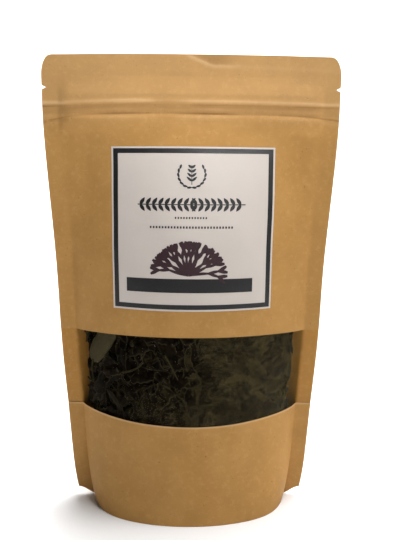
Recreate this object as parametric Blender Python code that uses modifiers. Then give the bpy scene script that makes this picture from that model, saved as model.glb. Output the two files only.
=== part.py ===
"""Stand-up kraft pouch, filled with dried and cut bladderwrack.

The front is a kraft web above and another below a clear strip window, the back is one kraft web, and a
folded kraft base opens out between them. A press-to-close zip, a square label and the heap of dried
seaweed complete it. Units are metres, +Z is up, and the front faces -Y. The origin is the middle of the
base, on the surface that the pouch stands on.

Places on a web are given as u, the way across the flat web from its middle, and v, the way up from its
bottom edge. Both are kept when the web bends, so the pouch has the size of its flat cut, but for the
fuller corners of the base, where the web is a little longer than its cut.
"""

import math
import random
from functools import lru_cache

import bmesh
import bpy
from mathutils import Vector

# Flat cut of the pouch
FLAT_WIDTH = 0.130
FLAT_HEIGHT = 0.210
SEAL_WIDTH = 0.007
INNER_HALF = FLAT_WIDTH / 2 - SEAL_WIDTH
CORNER_CUT_WIDTH = 0.0046
CORNER_CUT_HEIGHT = 0.0088
EAR_RISE = 0.0055
EAR_CURVE_START = 0.0570
EAR_CURVE_END = 0.0645

# Filled shape
BODY_BULGE = 0.0233
BULGE_POWER = 2.6
BASE_FLARE = 0.0049
FLARE_REACH = 0.016
WAIST_DEPTH = 0.0023
WAIST_HEIGHT = 0.079
WAIST_REACH = 0.030
WAIST_FADE_POWER = 8
CORNER_FULLNESS = 0.0125
CORNER_REACH = 0.022
CORNER_POWERS = (2, 5)
SIDE_DROP = 0.0006
SIDE_DROP_REACH = 0.060
SLOPE_STEP = 0.0004
TOP_SEAL = 0.009
SEALED_BULGE = 0.0002

# Zip
ZIP_HEIGHT = 0.187
ZIP_HALF_GAP = 0.0019
ZIP_STRIP_WIDTH = 0.010
ZIP_BAND_TOP = ZIP_HEIGHT + ZIP_STRIP_WIDTH / 2 + 0.001
ZIP_STRIP_THICKNESS = 0.0004
ZIP_HALF_LENGTH = 0.050
ZIP_LIP_DEPTH = 0.0010
ZIP_LIP_THICKNESS = 0.0006
ZIP_LIP_SPACING = 0.0010
ZIP_RIB_DEPTH = 0.0018
ZIP_STATIONS = 16
ZIP_CRUSH_POWER = 24
CRUSH_START = 0.012
CRUSH_END = 0.004

# Strip window
WINDOW_BOTTOM = 0.046
WINDOW_TOP = 0.0866
WINDOW_LOWER_BOW = 0.0026
WINDOW_UPPER_BOW = 0.0012
FILM_LAP = 0.010

# Thickness of the webs and the gap between layers that lie on each other
KRAFT_THICKNESS = 0.0005
FILM_THICKNESS = 0.0003
LABEL_THICKNESS = 0.0003
LAYER_GAP = 0.0003
HALF_GAP = LAYER_GAP / 2
LAP_RAMP = 0.006

# Label
LABEL_SIZE = 0.0715
LABEL_BOTTOM = 0.0985
LABEL_SHIFT = 0.0009
LABEL_STEPS = 8

# Folded base
GUSSET_FOLD = 0.035
SKIRT_HEIGHT = 0.006
SKIRT_RISE = 0.0003
SKIRT_SHARE = 0.25
GUSSET_HALF = 0.0563
GUSSET_STEPS = 16
CORNER_ROOM_SHARE = 0.10
FLAT_SPOT_ACROSS = 0.40
FLAT_SPOT_DEEP = 0.45
GUSSET_END_POWER = 2.5
GUSSET_SAG_POWER = 1.6

# Tear notches
NOTCH_HEIGHT = 0.196
NOTCH_DEPTH = 0.0023
NOTCH_OPENING = 0.0022
NOTCH_OVERRUN = 0.001
NOTCH_CUTTER_DEPTH = 0.02

# Heap of dried seaweed
CORE_DEPTH = 0.0052
CORE_ROUGHNESS = 0.0011
CORE_BOTTOM = 0.010
CORE_TOP = 0.094
CORE_ACROSS = 26
CORE_RINGS = 12
CORE_END_POWER = 5
CORE_FULLNESS = 0.25
HEAP_CLEARANCE = 0.0018
BASE_CLEARANCE = 0.0028
CROWN_TOP = 0.098
CROWN_DOME = 0.010
WALL_ROOM = 0.0015
BLADE_THICKNESS = 0.0008
ROOT_DEPTH = 0.0085
RISING_SHARE = 0.5
BLADE_LENGTHS = (0.013, 0.022)
BLADE_WIDTHS = (0.006, 0.011)
BLADE_STEPS = (3, 2)
BLADE_END_WIDTH = 0.55
BLADE_SWELLING = (0.15, 0.95)
BLADE_CURL = 0.0018
CURL_SHARES = (-0.3, 1.0)
BLADE_WAVE = 0.0005
BLADE_WAVES = 7
RAGGED_SHARE = 0.18
RAGGED_WAVES = 9
BLADE_RESTS = (0.0018, 0.0024)
FORK_SHARE = 0.16
FORK_START = 0.9
FORK_OPENING = 0.5
FORK_CHANCE = 0.3
BLADDER_RADII = (0.0016, 0.0024)
BLADDER_CHANCE = 0.2
BLADDER_PLACE = 0.7
TWIG_RADIUS = 0.0006
TWIG_TAPER = (1.3, 0.8)
TWIG_LENGTHS = (0.012, 0.020)
PLACE_JITTER = 0.35
SEED = 3

# Fields of heap pieces: reach across, reach up, columns and rows
FRONT_FIELD = ((-0.052, 0.052), (0.042, 0.090), 9, 4)
LOW_FRONT_FIELD = ((-0.040, 0.040), (0.022, 0.038), 7, 1)
BACK_FIELD = ((-0.048, 0.048), (0.026, 0.094), 6, 4)
TOP_FIELD = ((-0.042, 0.042), (-0.014, 0.014), 6, 2)
TWIG_FIELD = ((-0.040, 0.040), (0.046, 0.084), 4, 2)

# Mesh steps
ACROSS_STEPS = 16
STEP_UP = 0.0095
CORNER_ROWS = 4

COLLECTION_NAME = "dried_bladderwrack_pouch"
FRONT, BACK = -1.0, 1.0


def clear_scene() -> None:
    """Remove the objects that the scene starts with."""
    for thing in list(bpy.data.objects):
        bpy.data.objects.remove(thing, do_unlink=True)


def make_collection(name: str, shown: bool = True) -> bpy.types.Collection:
    """Make a collection under the scene's own one."""
    collection = bpy.data.collections.new(name)
    collection.hide_render = not shown
    bpy.context.scene.collection.children.link(collection)
    return collection


def make_material(name, colour, roughness, alpha=1.0, transmission=0.0):
    """A Principled material with a linear base colour."""
    material = bpy.data.materials.new(name)
    material.use_nodes = True
    shader = material.node_tree.nodes["Principled BSDF"]
    shader.inputs["Base Color"].default_value = (*colour, 1.0)
    shader.inputs["Roughness"].default_value = roughness
    shader.inputs["Metallic"].default_value = 0.0
    shader.inputs["Alpha"].default_value = alpha
    shader.inputs["Transmission Weight"].default_value = transmission
    return material


def add_object(name, bm, material, collection):
    """Turn a bmesh into a smooth-shaded object in a collection."""
    mesh = bpy.data.meshes.new(name)
    bm.to_mesh(mesh)
    bm.free()
    mesh.materials.append(material)
    thing = bpy.data.objects.new(name, mesh)
    collection.objects.link(thing)
    mesh.shade_smooth()
    mesh.set_sharp_from_angle(angle=math.radians(40))
    return thing


def smoothstep(low: float, high: float, value: float) -> float:
    """0 below low, 1 above high, and a soft step between them."""
    t = min(max((value - low) / (high - low), 0.0), 1.0)
    return t * t * (3 - 2 * t)


# Shape of the filled pouch


def bulge(v: float) -> float:
    """How far the middle of a web stands out from the plane of the side seals."""
    if v >= ZIP_HEIGHT:
        closing = (FLAT_HEIGHT - TOP_SEAL - v) / (FLAT_HEIGHT - TOP_SEAL - ZIP_BAND_TOP)
        return max(ZIP_HALF_GAP * min(closing, 1.0), SEALED_BULGE)
    share = v / ZIP_HEIGHT
    body = BODY_BULGE * (1 - share ** BULGE_POWER) + BASE_FLARE * math.exp(-v / FLARE_REACH)
    waist = WAIST_DEPTH * math.exp(-((v - WAIST_HEIGHT) / WAIST_REACH) ** 2)
    return body - waist * (1 - share ** WAIST_FADE_POWER) + ZIP_HALF_GAP


@lru_cache(maxsize=None)
def arc_half_angle(v: float) -> float:
    """Half angle of the arc that a web makes at height v, with its flat width kept."""
    low, high = 1e-4, 2.2
    for _ in range(50):
        middle = (low + high) / 2
        if INNER_HALF * (1 - math.cos(middle)) / middle < bulge(v):
            low = middle
        else:
            high = middle
    return (low + high) / 2


@lru_cache(maxsize=None)
def centre_height(v: float) -> float:
    """Height of a web's middle line above the floor, with its flat length kept."""
    steps = 40
    length = v / steps
    total = 0.0
    for step in range(steps):
        start = step * length
        rise = bulge(start + length) - bulge(start)
        total += math.sqrt(max(length * length - rise * rise, 0.0))
    return total


def corner_fullness(share: float, v: float) -> float:
    """How much further out than its arc a web stands near the base, between its middle and its side seals."""
    rising, falling = CORNER_POWERS
    return CORNER_FULLNESS * share ** rising * (1 - share ** falling) * math.exp(-(v / CORNER_REACH) ** 2)


def web_point(u: float, v: float, side: float) -> Vector:
    """Point of the front or back web's lining at u across and v up."""
    half_angle = arc_half_angle(v)
    radius = INNER_HALF / half_angle
    inner = min(abs(u), INNER_HALF)
    angle = half_angle * inner / INNER_HALF
    out = radius * (math.cos(angle) - math.cos(half_angle))
    crushed = bulge(v) * (1 - (inner / INNER_HALF) ** ZIP_CRUSH_POWER)
    near_zip = smoothstep(ZIP_HEIGHT - CRUSH_START, ZIP_HEIGHT - CRUSH_END, v)
    out += (crushed - out) * near_zip
    out += corner_fullness(inner / INNER_HALF, v)
    x = radius * math.sin(angle) + abs(u) - inner
    drop = SIDE_DROP * smoothstep(0.0, SIDE_DROP_REACH, v) * (inner / INNER_HALF) ** 2
    return Vector((math.copysign(x, u), side * out, centre_height(v) - drop))


def web_normal(u: float, v: float, side: float) -> Vector:
    """Direction out of the pouch at u, v of the front or back web."""
    if abs(u) > INNER_HALF:
        return Vector((0.0, side, 0.0))
    low = max(v - SLOPE_STEP, 0.0)
    across = web_point(u + SLOPE_STEP, v, side) - web_point(u - SLOPE_STEP, v, side)
    up = web_point(u, v + SLOPE_STEP, side) - web_point(u, low, side)
    return (up.cross(across) * side).normalized()


def off_web(u: float, v: float, side: float, lift: float) -> Vector:
    """Point at a distance outside the lining of a web, or inside it where lift is below zero."""
    return web_point(u, v, side) + web_normal(u, v, side) * lift


def half_width(v: float) -> float:
    """Half the flat width at v, with the cut top corners."""
    reach = (v - (FLAT_HEIGHT - CORNER_CUT_HEIGHT)) / CORNER_CUT_HEIGHT
    reach = min(max(reach, 0.0), 1.0)
    return FLAT_WIDTH / 2 - CORNER_CUT_WIDTH * (1 - math.sqrt(1 - reach * reach))


def bottom_edge(u: float) -> float:
    """Bottom edge of a web: straight in the middle, and raised across the side seals to the ears."""
    return EAR_RISE * smoothstep(EAR_CURVE_START, EAR_CURVE_END, abs(u))


def window_edge(u: float, middle: float, bow: float) -> float:
    """Edge of a kraft web along the window, drawn in a little towards the side seals."""
    return middle + bow * (min(abs(u), INNER_HALF) / INNER_HALF) ** 2


def front_lift(v: float) -> float:
    """Distance of the front kraft from the lining, which makes room for the film behind it."""
    low, high = WINDOW_BOTTOM - FILM_LAP, WINDOW_TOP + FILM_LAP
    room = smoothstep(low - LAP_RAMP, low, v) * (1 - smoothstep(high, high + LAP_RAMP, v))
    return HALF_GAP + (FILM_THICKNESS + LAYER_GAP) * room


def column_place(fraction: float, half: float) -> float:
    """Place u of a grid column, with the outermost column of each side as the seal strip."""
    total = ACROSS_STEPS + 2
    column = round(abs(fraction) * total * 2) / 2
    if column > ACROSS_STEPS / 2:
        return math.copysign(half, fraction)
    return math.copysign(INNER_HALF * column / (ACROSS_STEPS / 2), fraction)


def row_share(row: int, rows: int, length: float) -> float:
    """Share of a web's length at a grid row, with closer rows along the cut top corners."""
    plain_rows = rows - CORNER_ROWS
    plain_share = 1 - CORNER_CUT_HEIGHT / length
    if row <= plain_rows:
        return plain_share * row / plain_rows
    turn = (row - plain_rows) / CORNER_ROWS * math.pi / 2
    return plain_share + (1 - plain_share) * math.sin(turn)


def web_sheet(low, high, side, lift):
    """Open sheet between two edges of a web, both given as functions of u."""
    length = high(0.0) - low(0.0)
    rows = max(3, round(length / STEP_UP))
    has_corners = high(0.0) == FLAT_HEIGHT
    if has_corners:
        rows += CORNER_ROWS
    bm = bmesh.new()
    bmesh.ops.create_grid(bm, x_segments=ACROSS_STEPS + 2, y_segments=rows, size=0.5)
    for vertex in bm.verts:
        row = round((vertex.co.y + 0.5) * rows)
        share = row_share(row, rows, length) if has_corners else row / rows
        u = column_place(vertex.co.x, half_width(low(0.0) + length * share))
        v = low(u) + (high(u) - low(u)) * share
        vertex.co = off_web(u, v, side, lift(v))
    if side > 0:
        bmesh.ops.reverse_faces(bm, faces=bm.faces)
    return bm


def thicken(thing, thickness: float) -> None:
    """Give an open sheet its thickness, outwards along its normals."""
    shell = thing.modifiers.new("thickness", "SOLIDIFY")
    shell.thickness = thickness
    shell.offset = 1.0


# Webs, film and label


def build_front_upper(kraft, parts):
    """Kraft web of the front above the window."""
    def low(u):
        return window_edge(u, WINDOW_TOP, -WINDOW_UPPER_BOW)

    bm = web_sheet(low, lambda u: FLAT_HEIGHT, FRONT, front_lift)
    thing = add_object("front_upper_panel", bm, kraft, parts)
    thicken(thing, KRAFT_THICKNESS)
    return thing


def build_front_lower(kraft, parts):
    """Kraft web of the front below the window."""
    def high(u):
        return window_edge(u, WINDOW_BOTTOM, WINDOW_LOWER_BOW)

    bm = web_sheet(bottom_edge, high, FRONT, front_lift)
    thing = add_object("front_lower_panel", bm, kraft, parts)
    thicken(thing, KRAFT_THICKNESS)
    return thing


def build_back(kraft, parts):
    """Kraft web of the back, in one piece from the base to the top seal."""
    bm = web_sheet(bottom_edge, lambda u: FLAT_HEIGHT, BACK, lambda v: HALF_GAP)
    thing = add_object("back_panel", bm, kraft, parts)
    thicken(thing, KRAFT_THICKNESS)
    return thing


def build_film(film, parts):
    """Clear film that closes the window and laps behind the kraft above and below it."""
    def low(u):
        return WINDOW_BOTTOM - FILM_LAP

    def high(u):
        return WINDOW_TOP + FILM_LAP

    bm = web_sheet(low, high, FRONT, lambda v: HALF_GAP)
    thing = add_object("window_film", bm, film, parts)
    thicken(thing, FILM_THICKNESS)
    return thing


def build_label(paper, parts):
    """Square label on the upper web, bent with it."""
    bm = bmesh.new()
    bmesh.ops.create_grid(bm, x_segments=LABEL_STEPS, y_segments=LABEL_STEPS, size=LABEL_SIZE / 2)
    for vertex in bm.verts:
        u = vertex.co.x + LABEL_SHIFT
        v = vertex.co.y + LABEL_BOTTOM + LABEL_SIZE / 2
        lift = front_lift(v) + KRAFT_THICKNESS + LAYER_GAP
        vertex.co = off_web(u, v, FRONT, lift)
    thing = add_object("label", bm, paper, parts)
    thicken(thing, LABEL_THICKNESS)
    return thing


def cut_notches(cutters, webs) -> None:
    """Cut a pointed tear notch into each side of the webs that reach the notch height."""
    radius = NOTCH_OPENING / math.sqrt(3)
    for side in (-1.0, 1.0):
        bm = bmesh.new()
        bmesh.ops.create_cone(bm, cap_ends=True, segments=3, radius1=radius, radius2=radius,
                              depth=NOTCH_CUTTER_DEPTH)
        for vertex in bm.verts:
            along, up, through = vertex.co.y, vertex.co.x, vertex.co.z
            vertex.co = Vector((along, through, up))
        bmesh.ops.recalc_face_normals(bm, faces=bm.faces)
        length = max(v.co.x for v in bm.verts) - min(v.co.x for v in bm.verts)
        tip = max(v.co.x for v in bm.verts)
        for vertex in bm.verts:
            inward = (vertex.co.x - tip) * (NOTCH_DEPTH + NOTCH_OVERRUN) / length + NOTCH_DEPTH
            vertex.co.x = side * (FLAT_WIDTH / 2 - inward)
            vertex.co.z += centre_height(NOTCH_HEIGHT) - SIDE_DROP
        if side > 0:
            bmesh.ops.reverse_faces(bm, faces=bm.faces)
        mesh = bpy.data.meshes.new("notch_cutter")
        bm.to_mesh(mesh)
        bm.free()
        cutter = bpy.data.objects.new("notch_cutter", mesh)
        cutters.objects.link(cutter)
        cutter.hide_render = True
        cutter.display_type = "WIRE"
        for web in webs:
            cut = web.modifiers.new("notch", "BOOLEAN")
            cut.operation = "DIFFERENCE"
            cut.object = cutter


# Folded base


def gusset_rim(u: float) -> float:
    """Place v at which the base web leaves the panels: low in the middle and at its full fold at the ends."""
    end = min(abs(u) / GUSSET_HALF, 1.0)
    return SKIRT_HEIGHT + (GUSSET_FOLD - SKIRT_HEIGHT) * end ** 3


def gusset_height(u: float, across: float) -> float:
    """Height of the base's underside at u, where across runs from -1 at the front to 1 at the back."""
    end = min(abs(u) / GUSSET_HALF, 1.0)
    rim_height = web_point(u, gusset_rim(u), FRONT).z
    rise = max(end - FLAT_SPOT_ACROSS, 0.0) / (1 - FLAT_SPOT_ACROSS)
    crease_height = rim_height * rise ** GUSSET_END_POWER
    away = max(abs(across) - FLAT_SPOT_DEEP, 0.0) / (1 - FLAT_SPOT_DEEP)
    return crease_height + (rim_height - crease_height) * away ** GUSSET_SAG_POWER


def floor_under(point: Vector) -> float:
    """Lowest height that a heap piece may have over the base web at a point."""
    radius = INNER_HALF / arc_half_angle(SKIRT_HEIGHT)
    u = radius * math.asin(min(max(point.x / radius, -1.0), 1.0))
    u = min(max(u, -GUSSET_HALF), GUSSET_HALF)
    half_depth = abs(web_point(u, gusset_rim(u), FRONT).y)
    across = min(max(point.y / half_depth, -1.0), 1.0)
    return gusset_height(u, across) + KRAFT_THICKNESS + BASE_CLEARANCE


def gusset_lift(u: float, v: float) -> float:
    """How far the base web lies inside a panel's lining, with more room where the corners bend most."""
    room = CORNER_ROOM_SHARE * corner_fullness(abs(u) / INNER_HALF, v)
    return -HALF_GAP - KRAFT_THICKNESS - room


def gusset_point(u: float, place: float) -> Vector:
    """Point on the underside of the base web, where place runs from -1 at the front edge to 1 at the back."""
    side = FRONT if place < 0 else BACK
    rim = gusset_rim(u)
    if abs(place) > 1 - SKIRT_SHARE:
        up = (1 - abs(place)) / SKIRT_SHARE
        low = bottom_edge(u) + SKIRT_RISE
        v = low + (rim - low) * up
        return off_web(u, v, side, gusset_lift(u, v))
    across = place / (1 - SKIRT_SHARE)
    edge = off_web(u, rim, side, gusset_lift(u, rim))
    return Vector((edge.x, abs(across) * edge.y, gusset_height(u, across)))


def build_gusset(kraft, parts):
    """Kraft base web: skirts sealed inside both panels, and the floor of the pouch between them."""
    bm = bmesh.new()
    bmesh.ops.create_grid(bm, x_segments=ACROSS_STEPS, y_segments=GUSSET_STEPS, size=1.0)
    for vertex in bm.verts:
        u = vertex.co.x * GUSSET_HALF
        vertex.co = gusset_point(u, vertex.co.y)
    thing = add_object("bottom_gusset", bm, kraft, parts)
    thicken(thing, KRAFT_THICKNESS)
    return thing


# Zip


def build_zip_strip(name, side, profile, plastic, parts):
    """Sweep a zip profile, given as (toward the middle, up) points, along the arched zip line."""
    back_face = ZIP_HALF_GAP + HALF_GAP - LAYER_GAP
    bm = bmesh.new()
    rings = []
    for station in range(ZIP_STATIONS + 1):
        u = ZIP_HALF_LENGTH * (2 * station / ZIP_STATIONS - 1)
        base = web_point(u, ZIP_HEIGHT, side)
        ring = []
        for inward, up in profile:
            place = Vector((base.x, side * (back_face - inward), base.z + up))
            ring.append(bm.verts.new(place))
        rings.append(ring)
    count = len(profile)
    for ring, after in zip(rings, rings[1:]):
        for index in range(count):
            following = (index + 1) % count
            bm.faces.new((ring[index], ring[following], after[following], after[index]))
    bm.faces.new(rings[0])
    bm.faces.new(reversed(rings[-1]))
    bmesh.ops.recalc_face_normals(bm, faces=bm.faces)
    return add_object(name, bm, plastic, parts)


def plate_with_ribs(rib_places, rib_depth):
    """Zip profile: a flat strip with ribs of a given depth at places up its face."""
    half = ZIP_STRIP_WIDTH / 2
    points = [(0.0, -half), (0.0, half), (ZIP_STRIP_THICKNESS, half)]
    for place in sorted(rib_places, reverse=True):
        for edge, depth in ((1, 0.0), (1, rib_depth), (-1, rib_depth), (-1, 0.0)):
            points.append((ZIP_STRIP_THICKNESS + depth, place + edge * ZIP_LIP_THICKNESS / 2))
    points.append((ZIP_STRIP_THICKNESS, -half))
    return points


def build_zip(plastic, parts) -> None:
    """Both halves of the zip, pressed closed: the rib of the back stands between the lips of the front."""
    lips = (ZIP_LIP_SPACING, -ZIP_LIP_SPACING)
    groove = plate_with_ribs(lips, ZIP_LIP_DEPTH)
    rib = plate_with_ribs((0.0,), ZIP_RIB_DEPTH)
    build_zip_strip("zip_groove_strip", FRONT, groove, plastic, parts)
    build_zip_strip("zip_rib_strip", BACK, rib, plastic, parts)


# Dried seaweed


def heap_core(draw):
    """Rough middle of the heap, which the pieces stand out of."""
    bm = bmesh.new()
    bmesh.ops.create_uvsphere(bm, u_segments=CORE_ACROSS, v_segments=CORE_RINGS, radius=1.0)
    for vertex in bm.verts:
        ball = vertex.co.normalized()
        share = (math.asin(max(-1.0, min(1.0, ball.z))) / math.pi) + 0.5
        v = CORE_BOTTOM + (CORE_TOP - CORE_BOTTOM) * share
        turn = math.atan2(ball.y, ball.x)
        fullness = (1 - abs(2 * share - 1) ** CORE_END_POWER) ** CORE_FULLNESS
        half_angle = arc_half_angle(v)
        radius = INNER_HALF / half_angle
        widest = radius * math.sin(half_angle)
        x = widest * math.cos(turn)
        out = math.sqrt(radius * radius - x * x) - radius * math.cos(half_angle)
        inset = CORE_DEPTH + draw.uniform(-CORE_ROUGHNESS, CORE_ROUGHNESS)
        x *= (1 - inset / widest) * fullness
        y = math.copysign(out, ball.y) * (1 - inset / bulge(v)) * fullness
        vertex.co = Vector((x, y, centre_height(v)))
        vertex.co.z = max(vertex.co.z, floor_under(vertex.co) + CORE_DEPTH * share)
    bmesh.ops.triangulate(bm, faces=bm.faces)
    return bm


def facing_out(bm):
    """Turn the faces of a closed piece outwards once its points have been moved."""
    bm.normal_update()
    bmesh.ops.recalc_face_normals(bm, faces=bm.faces)
    if bm.calc_volume(signed=True) < 0:
        bmesh.ops.reverse_faces(bm, faces=bm.faces)
    return bm


def on_web(side):
    """Way to place heap pieces behind a web: u, v and the depth behind the lining."""
    def place(u, v, depth):
        point = off_web(u, v, side, -max(depth, HEAP_CLEARANCE))
        point.z = max(point.z, floor_under(point))
        return point
    return place


def on_top(x, y, depth):
    """Way to place heap pieces on top of the heap: x, y and the depth below its uppermost pieces."""
    half_angle = arc_half_angle(CROWN_TOP)
    radius = INNER_HALF / half_angle
    room = math.sqrt(radius * radius - x * x) - radius * math.cos(half_angle) - WALL_ROOM
    narrowing = room / (bulge(CROWN_TOP) - WALL_ROOM)
    crown = centre_height(CROWN_TOP)
    dome = CROWN_DOME * (x / INNER_HALF) ** 2
    return Vector((x, y * narrowing, crown - dome - depth))


def cut_blade(place, start, heading, length, width, curl, wave, rest, forked):
    """One cut piece of blade, its root sunk in the core and its tip standing out to the depth of its rest."""
    along_steps, across_steps = BLADE_STEPS
    swell_start, swell_end = BLADE_SWELLING
    bm = bmesh.new()
    bmesh.ops.create_grid(bm, x_segments=along_steps, y_segments=across_steps, size=0.5)
    bmesh.ops.triangulate(bm, faces=bm.faces)
    for vertex in bm.verts:
        share = vertex.co.x + 0.5
        across = vertex.co.y * 2
        swelling = math.sin(math.pi * (swell_start + (swell_end - swell_start) * share))
        narrowing = BLADE_END_WIDTH + (1 - BLADE_END_WIDTH) * swelling
        ragged = 1 + RAGGED_SHARE * math.sin(RAGGED_WAVES * share + wave)
        q = across * width / 2 * narrowing * ragged
        p = share * length
        if forked and share > FORK_START and abs(across) < FORK_OPENING:
            p -= FORK_SHARE * length
        depth = ROOT_DEPTH + (rest - ROOT_DEPTH) * smoothstep(0.0, RISING_SHARE, share)
        depth += curl * across * across + BLADE_WAVE * math.sin(BLADE_WAVES * share + wave)
        depth = max(depth, rest)
        first = start[0] + p * math.cos(heading) - q * math.sin(heading)
        second = start[1] + p * math.sin(heading) + q * math.cos(heading)
        vertex.co = place(first, second, depth)
    bm.normal_update()
    bmesh.ops.solidify(bm, geom=bm.faces[:], thickness=BLADE_THICKNESS)
    return facing_out(bm)


def bladder(place, start, radius):
    """Small round bladder, swollen out of a blade."""
    bm = bmesh.new()
    bmesh.ops.create_uvsphere(bm, u_segments=8, v_segments=5, radius=radius)
    centre = place(start[0], start[1], radius + BLADE_THICKNESS)
    for vertex in bm.verts:
        vertex.co = vertex.co + centre
    return bm


def twig(place, start, heading, length):
    """Bit of bare midrib that lies across the blades, one end sunk in the core."""
    bm = bmesh.new()
    thick, thin = TWIG_TAPER
    bmesh.ops.create_cone(bm, cap_ends=True, segments=5, radius1=TWIG_RADIUS * thick,
                          radius2=TWIG_RADIUS * thin, depth=length)
    for vertex in bm.verts:
        share = vertex.co.z / length + 0.5
        depth = ROOT_DEPTH * (1 - share) + (HEAP_CLEARANCE + TWIG_RADIUS) * share + vertex.co.x
        first = start[0] + share * length * math.cos(heading) - vertex.co.y * math.sin(heading)
        second = start[1] + share * length * math.sin(heading) + vertex.co.y * math.cos(heading)
        vertex.co = place(first, second, depth)
    return facing_out(bm)


def scatter(draw, across, up, columns, rows):
    """Starting places on a jittered grid that fills a field."""
    for row in range(rows):
        for column in range(columns):
            first = (column + 0.5 + draw.uniform(-PLACE_JITTER, PLACE_JITTER)) / columns
            second = (row + 0.5 + draw.uniform(-PLACE_JITTER, PLACE_JITTER)) / rows
            yield across[0] + (across[1] - across[0]) * first, up[0] + (up[1] - up[0]) * second


def blade_field(draw, place, across, up, columns, rows):
    """Blades with a random heading all over one side of the heap."""
    for start in scatter(draw, across, up, columns, rows):
        heading = draw.uniform(0.0, 2 * math.pi)
        length = draw.uniform(*BLADE_LENGTHS)
        width = draw.uniform(*BLADE_WIDTHS)
        ahead = start[0] + length * math.cos(heading)
        if not across[0] < ahead < across[1]:
            heading = math.pi - heading
        rising = start[1] + length * math.sin(heading)
        if not up[0] < rising < up[1]:
            heading = -heading
        curl = draw.uniform(*CURL_SHARES) * BLADE_CURL
        wave, rest = draw.uniform(0.0, 2 * math.pi), draw.uniform(*BLADE_RESTS)
        forked = draw.random() < FORK_CHANCE
        yield cut_blade(place, start, heading, length, width, curl, wave, rest, forked)
        if draw.random() < BLADDER_CHANCE:
            along = BLADDER_PLACE * length
            swelling = (start[0] + along * math.cos(heading), start[1] + along * math.sin(heading))
            yield bladder(place, swelling, draw.uniform(*BLADDER_RADII))


def heap_pieces(draw):
    """All pieces that stand out of the heap's core."""
    front, back = on_web(FRONT), on_web(BACK)
    yield from blade_field(draw, front, *FRONT_FIELD)
    yield from blade_field(draw, front, *LOW_FRONT_FIELD)
    yield from blade_field(draw, back, *BACK_FIELD)
    yield from blade_field(draw, on_top, *TOP_FIELD)
    for start in scatter(draw, *TWIG_FIELD):
        yield twig(front, start, draw.uniform(0.0, 2 * math.pi), draw.uniform(*TWIG_LENGTHS))


def keep_largest_body(mesh) -> None:
    """Drop loose scraps and sealed hollows, so that the fused heap is one closed body."""
    bm = bmesh.new()
    bm.from_mesh(mesh)
    left = set(bm.faces)
    bodies = []
    while left:
        body = {left.pop()}
        edge_of_body = list(body)
        while edge_of_body:
            face = edge_of_body.pop()
            for edge in face.edges:
                for neighbour in edge.link_faces:
                    if neighbour in left:
                        left.remove(neighbour)
                        body.add(neighbour)
                        edge_of_body.append(neighbour)
        bodies.append(body)
    largest = max(bodies, key=len)
    scraps = [face for face in bm.faces if face not in largest]
    bmesh.ops.delete(bm, geom=scraps, context="FACES")
    bm.to_mesh(mesh)
    bm.free()


def build_heap(seaweed, parts):
    """Heap of dried seaweed, with its pieces fused to the core in one union."""
    draw = random.Random(SEED)
    loose = make_collection("heap_pieces", shown=False)
    for number, bm in enumerate(heap_pieces(draw)):
        mesh = bpy.data.meshes.new(f"piece_{number}")
        bm.to_mesh(mesh)
        bm.free()
        loose.objects.link(bpy.data.objects.new(f"piece_{number}", mesh))
    heap = add_object("dried_bladderwrack", heap_core(draw), seaweed, parts)
    union = heap.modifiers.new("fuse", "BOOLEAN")
    union.operation = "UNION"
    union.operand_type = "COLLECTION"
    union.collection = loose
    union.solver = "EXACT"
    bpy.context.view_layer.objects.active = heap
    with bpy.context.temp_override(object=heap, active_object=heap, selected_objects=[heap]):
        bpy.ops.object.modifier_apply(modifier=union.name)
    keep_largest_body(heap.data)
    for piece in list(loose.objects):
        bpy.data.objects.remove(piece, do_unlink=True)
    bpy.data.collections.remove(loose)
    return heap


def main() -> None:
    """Build every piece of the pouch."""
    clear_scene()
    parts = make_collection(COLLECTION_NAME)
    cutters = make_collection("cutters", shown=False)
    kraft = make_material("kraft_paper", (0.52, 0.29, 0.095), 0.75)
    inner_kraft = make_material("kraft_base", (0.40, 0.21, 0.060), 0.80)
    film = make_material("clear_film", (0.90, 0.91, 0.88), 0.12, alpha=0.35, transmission=0.9)
    paper = make_material("label_paper", (0.68, 0.64, 0.62), 0.60)
    plastic = make_material("zip_plastic", (0.75, 0.74, 0.70), 0.35)
    seaweed = make_material("dried_seaweed", (0.020, 0.017, 0.009), 0.70)
    upper = build_front_upper(kraft, parts)
    build_front_lower(kraft, parts)
    back = build_back(kraft, parts)
    cut_notches(cutters, (upper, back))
    build_film(film, parts)
    build_label(paper, parts)
    build_gusset(inner_kraft, parts)
    build_zip(plastic, parts)
    build_heap(seaweed, parts)


main()
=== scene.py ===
"""Filled kraft stand-up pouch of dried, cut seaweed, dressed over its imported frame.

The webs, film, label and base are thin closed sheets that are bent with the frame's own formulas, so each
lies where its solid lies. The seaweed is several hundred curled, cut pieces pressed behind the film.
Units are metres, +Z is up, and the front faces -Y. A place on a web is u across and v up the flat cut.
"""

import logging
import math
from dataclasses import dataclass, field
from enum import Enum
from functools import cached_property, lru_cache
from typing import Callable

import bpy
import numpy as np
from mathutils import Matrix, Vector


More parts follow.
